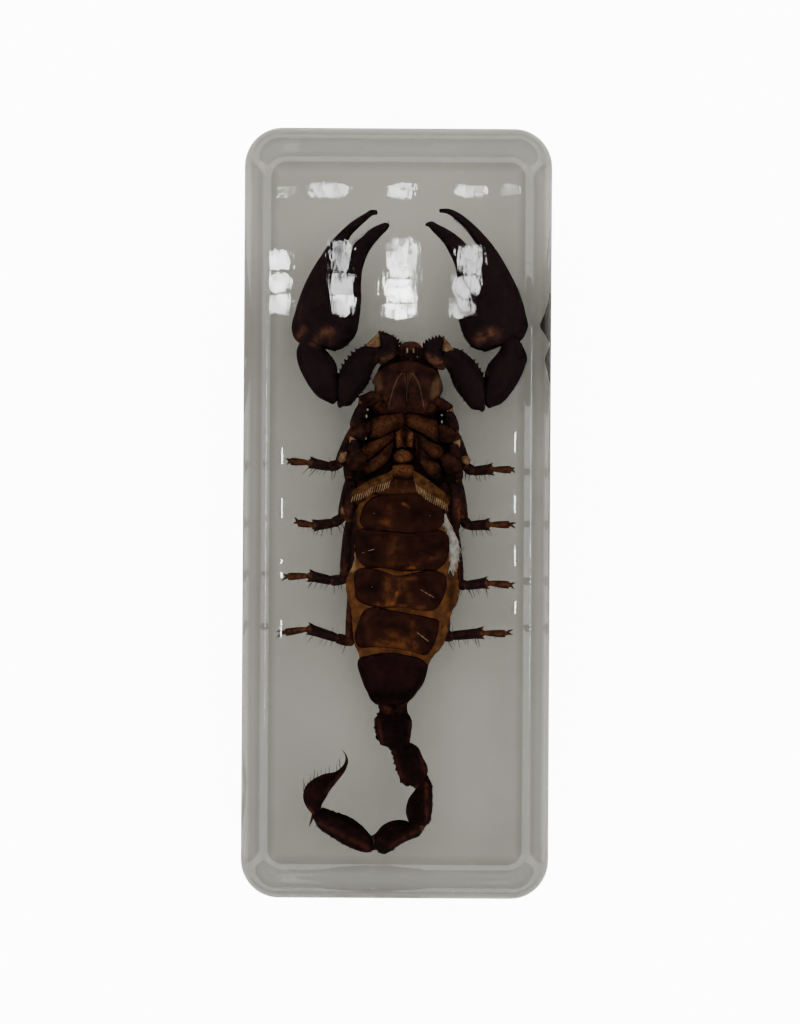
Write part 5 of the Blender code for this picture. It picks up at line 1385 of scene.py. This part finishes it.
class BuildBellyPlates(bpy.types.Operator):
    """Builds the belly plates behind the combs, with their breathing slits"""

    bl_idname = "scorpion.build_belly_plates"
    bl_label = "Belly Plates"

    def execute(self, context):
        settings, belly = context.scene.scorpion_shell, body_side(1)
        grooves = [(*slit[:4], 0.5, 0.2) for slit in SLITS]
        for name, outline in STERNITES.items():
            corners = spread(outline, 1.03)
            plate = pad(corners, belly, 0.5, 0.6, square=5.0, around=120, rings=30, grooves=grooves, rim=0.12)
            shell = finish("last_plate_shell" if name == LAST_PLATE else "belly_shell", settings)
            # Each plate's edge is darkened: painted shade where it meets its neighbours.
            dark = BELLY_DARK + outline_shade_strokes(corners, 0.22, 0.8)
            make_piece(name, [plate], shell, BELLY_AMBER, dark=dark)
        lips = []
        for ax, ay, bx, by, wide in SLITS:
            shares = np.linspace(0, 1, len(SLIT_SWELL))
            line = np.array([(ax + (bx - ax) * share, ay + (by - ay) * share, 0.0) for share in shares])
            line[:, 2] = belly(line[:, :2]) + 0.38
            form = wide * np.array(SLIT_SWELL)
            lips.append(lofted(tube_ribs(line, form, form), sides=12, sections=16, tips=(0.05, 0.05)))
        make_piece("slit_lips", lips, finish("slit_skin", settings))
        return {"FINISHED"}


class BuildHead(bpy.types.Operator):
    """Builds the mouth parts: the shield of the arms' coxae, the dome between the jaws and the jaws"""

    bl_idname = "scorpion.build_head"
    bl_label = "Head"

    def execute(self, context):
        settings = context.scene.scorpion_shell
        shell, surfaces = finish("maroon_shell", settings), (body_side(1), level(JAW_DOME_HEIGHT))
        shield, dome = (
            pad(corners, surface, rise, 0.8, square=2.6, around=200, rings=56, grooves=GROOVES)
            for (corners, rise), surface in zip(HEAD_PLATES.values(), surfaces)
        )
        make_piece("mouth_shield", [shield], shell, HEAD_AMBER, HEAD_PALE_AND_GLINTS)
        make_piece("jaw_dome", [dome], shell, HEAD_AMBER)
        jaws = level_pads(CHELICERAE.values(), JAW_HEIGHT, 2.0, square=2.2)
        # The pale strokes on the jaws are painted glints.
        make_piece("chelicerae", jaws, finish("black_shell", settings), pale=HEAD_PALE_AND_GLINTS)
        return {"FINISHED"}


class BuildChest(bpy.types.Operator):
    """Builds the leg coxae, the breastplate, the operculum and the plates by the combs"""

    bl_idname = "scorpion.build_chest"
    bl_label = "Chest"

    def execute(self, context):
        settings, belly = context.scene.scorpion_shell, body_side(1)
        plates, edges = [], []
        for corners, rise in CHEST_PLATES.values():
            plates.append(pad(
                corners, belly, rise, 0.8, square=3.2, around=72, rings=16, grooves=GROOVES, rim=0.1,
            ))
            # Each plate's edge is darkened: painted shade where it meets its neighbours.
            edges += outline_shade_strokes(corners, 0.38, 0.75)
        shell = finish("chest_shell", settings)
        make_piece("chest_plates", plates, shell, CHEST_AMBER, dark=CHEST_DARK + edges)
        flanks = [pad(corners, level(FLANK_HEIGHT), 1.2, 2.0) for corners in FLANKS.values()]
        make_piece("flanks", flanks, finish("black_shell", settings))
        # Small pale dots, each like an air bubble caught in the resin: painted glints, in the pale tissue
        # finish.
        bubble_glints = []
        for x, y, wide, tall in BUBBLE_GLINTS:
            corners = [(x + across * wide, y + along * tall) for across, along in BUBBLE_CORNERS]
            bubble_glints.append(pad(corners, level(BUBBLE_HEIGHT), wide, wide, square=2.0, around=16, rings=4))
        make_piece("air_bubble_glints", bubble_glints, finish("tissue", settings))
        hips = [pad(corners, level(height), 1.6, 1.6, square=2.2) for corners, height in HIPS.values()]
        make_piece("hips", hips, finish("hip_shell", settings))
        skins = level_pads(HIP_SKINS.values(), HIP_SKIN_HEIGHT, 1.2, square=2.4)
        make_piece("hip_skins", skins, finish("pale_skin", settings))
        return {"FINISHED"}


class BuildCombs(bpy.types.Operator):
    """Builds the two combs under the belly and their rows of teeth"""

    bl_idname = "scorpion.build_combs"
    bl_label = "Combs"

    def execute(self, context):
        settings = context.scene.scorpion_shell
        forms, rows = [], []
        for edges, lean in COMBS.values():
            ribs = [(*edge, COMB_HEIGHT, 0.45, 0.6) for edge in edges]
            forms.append(lofted(ribs, sides=20, sections=50, tips=(0.2, 0.2)))
            lower = smooth_rows([edge[2:] for edge in edges], settings.comb_teeth + 2)[1:-1]
            rows += [((x, y + 0.5, COMB_HEIGHT + 0.25), (*lean, -0.12), 1.0) for x, y in lower]
        make_piece("combs", forms, finish("comb_shell", settings))
        make_spikes(
            "comb_teeth", rows, finish("comb_tooth_shell", settings),
            foot=0.00011, tip=0.00008, length=0.0019, variation=0.08, seed=4,
        )
        return {"FINISHED"}


class BuildArms(bpy.types.Operator):
    """Builds the two arms, from their trochanters to the closing fingers of the hands"""

    bl_idname = "scorpion.build_arms"
    bl_label = "Arms and Hands"

    def execute(self, context):
        settings = context.scene.scorpion_shell
        shell = finish("black_shell", settings)
        for name, corners in TROCHANTERS.items():
            make_piece(name, level_pads([corners], TROCHANTER_HEIGHT, 2.4, square=2.3), shell, HAND_AMBER)
        skins = level_pads(WEDGES.values(), ARM_SKIN_HEIGHT, 1.7)
        make_piece("arm_skins", skins, finish("pale_skin", settings))
        limbs = {
            "left_femur": (LEFT_FEMUR, 34), "left_patella": (LEFT_PATELLA, 40),
            "left_hand": (LEFT_HAND, 90), "left_finger": (LEFT_FINGER, 60),
            "right_hand": (RIGHT_HAND, 90), "right_finger": (RIGHT_FINGER, 60),
            "right_femur": (mirrored(LEFT_FEMUR), 34), "right_patella": (mirrored(LEFT_PATELLA), 40),
        }
        for name, (ribs, sections) in limbs.items():
            tips = (0.7, 0.25) if name.endswith(("hand", "finger")) else (0.7, 0.7)
            keels = FINGER_KEELS if name.endswith("finger") else ARM_KEELS
            limb = lofted(ribs, sides=48, sections=sections, tips=tips, keels=keels)
            make_piece(name, [limb], shell, HAND_AMBER)
        rows = []
        for line, count, lean, size in ARM_TEETH:
            inward = 0.25 / math.hypot(*lean)
            for x, y in smooth_rows(line, count):
                rows.append(((x - lean[0] * inward, y - lean[1] * inward, MID + 0.3), (*lean, 0.15), size))
        make_spikes(
            "arm_teeth", rows, shell,
            foot=0.00046, tip=0.00004, length=settings.tooth_length + 0.00025, variation=0.25, seed=11,
        )
        return {"FINISHED"}


class BuildLegs(bpy.types.Operator):
    """Builds the eight legs with their joints and claws"""

    bl_idname = "scorpion.build_legs"
    bl_label = "Legs"

    def execute(self, context):
        settings = context.scene.scorpion_shell
        for name in LEGS:
            points = np.array(leg_points(name))
            forms, bands = [], []
            for near, far, (wide, deep, swell) in zip(points, points[1:], LEG_PARTS):
                line = np.array([near + (far - near) * share for share in LEG_SHARES])
                ribs = tube_ribs(line, wide * np.array(swell), deep * np.array(swell))
                forms.append(lofted(ribs, sides=24, sections=22, tips=(0.3, 0.25), keels=LEG_KEELS))
            for joint, (wide, deep, _) in zip(points[1:], LEG_PARTS[1:]):
                corners, rise = ring_at(joint, wide * 0.8), deep * 0.7
                bands.append(pad(corners, level(joint[2]), rise, rise, around=20, rings=5))
            foot = points[5]
            for tip in points[6:]:
                claw = tube_ribs([foot, (foot + tip) / 2 + CLAW_BEND, tip], CLAW_SWELL, CLAW_SWELL)
                forms.append(lofted(claw, sides=10, sections=10, tips=(0.1, 0.08)))
            make_piece(name, forms, finish("leg_shell", settings), leg_amber(points) + LEG_AMBER, LEG_PALE)
            make_piece(name + "_joints", bands, finish("joint_skin", settings))
        return {"FINISHED"}


class BuildTail(bpy.types.Operator):
    """Builds the five keeled tail rings, their joints and the sting"""

    bl_idname = "scorpion.build_tail"
    bl_label = "Tail and Sting"

    def execute(self, context):
        settings = context.scene.scorpion_shell
        shell = finish("tail_shell", settings)
        for name, (left, right, depths) in TAIL_RINGS.items():
            keels = [(*keel, TAIL_BEADS[name]) for keel in TAIL_KEELS]
            ribs = edge_ribs(left, right, MID, depths)
            ring = lofted(ribs, sides=64, sections=70, square=2.5, tips=(0.3, 0.3), keels=keels)
            make_piece(name, [ring], shell, TAIL_AMBER, dark=TAIL_DARK)
        joints = []
        for near, far, depth in TAIL_JOINTS:
            between = [(a + b) / 2 for a, b in zip(near, far)]
            ribs = [(*edges, MID, depth, depth) for edges in (near, between, far)]
            joints.append(lofted(ribs, sides=28, sections=8))
        spur = tube_ribs([(x, y, MID) for x, y in TAIL_SPUR], SPUR_SWELL, SPUR_SWELL)
        joints.append(lofted(spur, sides=12, sections=10, tips=(0.1, 0.1)))
        make_piece("tail_joints", joints, finish("joint_skin", settings))
        left, right, depths = STING
        ribs = edge_ribs(left, right, MID, depths, count=14)
        sting = lofted(ribs, sides=40, sections=70, square=2.1, tips=(0.5, 0.1))
        make_piece("sting", [sting], shell, TAIL_AMBER, dark=TAIL_DARK)
        return {"FINISHED"}


class BuildBristles(bpy.types.Operator):
    """Builds the bristles of the feet, legs and sting, and the small teeth along the tail"""

    bl_idname = "scorpion.build_bristles"
    bl_label = "Bristles"

    def execute(self, context):
        settings, chance = context.scene.scorpion_shell, np.random.default_rng(5)
        shell, rows = finish("leg_shell", settings), []
        for name in LEGS:
            points = np.array(leg_points(name))
            for part, count, reach in LEG_BRISTLES:
                rows += bristle_rows(points[part], points[part + 1], LEG_PARTS[part][0], count, reach, chance)
        for x, y in smooth_rows(STING[0][3:9], 12):
            foot = (x, y - 0.1, MID + chance.uniform(-0.5, 1.0))
            lean = (chance.uniform(-0.3, 0.2), 1.0, chance.uniform(-0.2, 0.4))
            rows.append((foot, lean, chance.uniform(0.8, 1.6)))
        for line in BRISTLE_LINES:
            for x, y in smooth_rows(line, 8):
                foot = (x, y, MID + chance.uniform(-0.5, 1.0))
                lean = (chance.uniform(-1.0, 1.0), chance.uniform(-0.2, 1.0), 0.1)
                rows.append((foot, lean, chance.uniform(0.5, 1.3)))
        make_spikes(
            "bristles", rows, shell,
            foot=settings.hair_width, tip=0.00002, length=settings.hair_length, variation=0.2, seed=3,
        )
        spurs = []
        for name in LEGS:
            knee, heel = np.array(leg_points(name)[3:5])
            heading = (heel - knee) / np.linalg.norm(heel - knee)
            aside = np.array((-heading[1], heading[0], 0.0))
            for off in HEEL_SPURS:
                spurs.append((heel - heading * 0.1 + aside * off, heading + aside * off * 0.5, 1.0))
        make_spikes(
            "heel_spurs", spurs, shell,
            foot=0.0002, tip=0.00004, length=0.00048, variation=0.25, seed=8,
        )
        teeth = []
        for name, (left, right, _) in TAIL_RINGS.items():
            middle = (np.mean(left, axis=0) + np.mean(right, axis=0)) / 2
            for edge in ROUGH_EDGES[name]:
                for point in smooth_rows((left, right)[edge], 30):
                    lean = (point - middle) / np.linalg.norm(point - middle)
                    foot = (*(point - lean * 0.2), MID + 0.2)
                    teeth.append((foot, (*lean, 0.1), chance.uniform(0.4, 1.1)))
        make_spikes(
            "tail_teeth", teeth, finish("tail_shell", settings),
            foot=0.00026, tip=0.00011, length=0.00042, variation=0.25, seed=9,
        )
        return {"FINISHED"}


class BuildStudio(bpy.types.Operator):
    """Sets up the floor, the lamps, the soft sky and the camera"""

    bl_idname = "scorpion.build_studio"
    bl_label = "Studio"

    def execute(self, context):
        settings, block = context.scene.scorpion_studio, context.scene.scorpion_resin
        scene = context.scene
        signs = ((-1, -1), (1, -1), (1, 1), (-1, 1))
        corners = [(x * FLOOR_REACH, y * FLOOR_REACH, -FLOOR_DROP) for x, y in signs]
        mesh = bpy.data.meshes.new("floor")
        mesh.from_pydata(corners, [], [(0, 1, 2, 3)])
        mesh.materials.append(floor_material(settings, block))
        floor = bpy.data.objects.new("floor", mesh)
        scene.collection.objects.link(floor)

        scale = MM * (1 + LAMP_HEIGHT / CAMERA_HEIGHT)  # from a mirror image in the top face to its lamp
        for number, (x, y, width, length, share) in enumerate(LAMPS):
            light = bpy.data.lights.new("ceiling_lamp", "AREA")
            light.shape = "RECTANGLE"
            light.size, light.size_y = width * scale, length * scale
            light.energy = share * settings.lamp_glow * math.pi * light.size * light.size_y
            if BROAD_LAMP < width < 4 * BROAD_LAMP:
                wear_lamp(light, width, length, number)
            lamp = bpy.data.objects.new("ceiling_lamp", light)
            lamp.location = (x * scale, y * scale, block.thickness + LAMP_HEIGHT)
            lamp.visible_transmission = False
            scene.collection.objects.link(lamp)

        scene.world = bpy.data.worlds.new("studio_sky")
        scene.world.use_nodes = True
        tree = scene.world.node_tree
        sky, path = tree.nodes["Background"].inputs, tree.nodes.new("ShaderNodeLightPath").outputs
        height = axes(tree, wired(tree, "ShaderNodeTexCoord", output="Generated"))["Z"]
        glare = worked(tree, "SUBTRACT", path["Is Glossy Ray"], path["Is Transmission Ray"], use_clamp=True)
        damp = worked(tree, "MULTIPLY_ADD", glare, -settings.sky * settings.polariser, settings.sky)
        tree.links.new(greys(tree, height, SKY_FADE), sky["Color"])
        tree.links.new(damp, sky["Strength"])

        lens = bpy.data.cameras.new("camera")
        lens.lens = LENS
        lens.shift_x, lens.shift_y = (pixels / PICTURE_HEIGHT for pixels in PICTURE_SHIFT)
        camera = bpy.data.objects.new("camera", lens)
        camera.location = (0.0, 0.0, block.thickness + CAMERA_HEIGHT)
        camera.rotation_euler = (0.0, 0.0, math.radians(CAMERA_TURN))
        scene.collection.objects.link(camera)
        scene.camera = camera
        return {"FINISHED"}


class ScorpionPanel(bpy.types.Panel):
    """Lists the pieces of the scorpion in resin"""

    bl_idname = "VIEW3D_PT_scorpion"
    bl_label = "Scorpion in Resin"
    bl_space_type = "VIEW_3D"
    bl_region_type = "UI"
    bl_category = "Scorpion"

    def draw(self, context):
        for group, kind in SETTINGS.items():
            for name in kind.__annotations__:
                self.layout.prop(getattr(context.scene, group), name)
        for builder in BUILDERS:
            self.layout.operator(builder.bl_idname)


BUILDERS = (
    BuildResin, BuildBody, BuildBackPlates, BuildBellyPlates, BuildHead, BuildChest, BuildCombs, BuildArms,
    BuildLegs, BuildTail, BuildBristles, BuildStudio,
)
SETTINGS = {
    "scorpion_resin": ResinSettings, "scorpion_shell": ShellSettings, "scorpion_studio": StudioSettings,
}


def register():
    for settings in SETTINGS.values():
        bpy.utils.register_class(settings)
    for name, settings in SETTINGS.items():
        setattr(bpy.types.Scene, name, PointerProperty(type=settings))
    for builder in BUILDERS:
        bpy.utils.register_class(builder)
    bpy.utils.register_class(ScorpionPanel)


def unregister():
    bpy.utils.unregister_class(ScorpionPanel)
    for builder in reversed(BUILDERS):
        bpy.utils.unregister_class(builder)
    for name in SETTINGS:
        delattr(bpy.types.Scene, name)
    for settings in reversed(list(SETTINGS.values())):
        bpy.utils.unregister_class(settings)


def main():
    register()
    for builder in BUILDERS:
        group, action = builder.bl_idname.split(".")
        getattr(getattr(bpy.ops, group), action)()


if __name__ == "__main__":
    main()
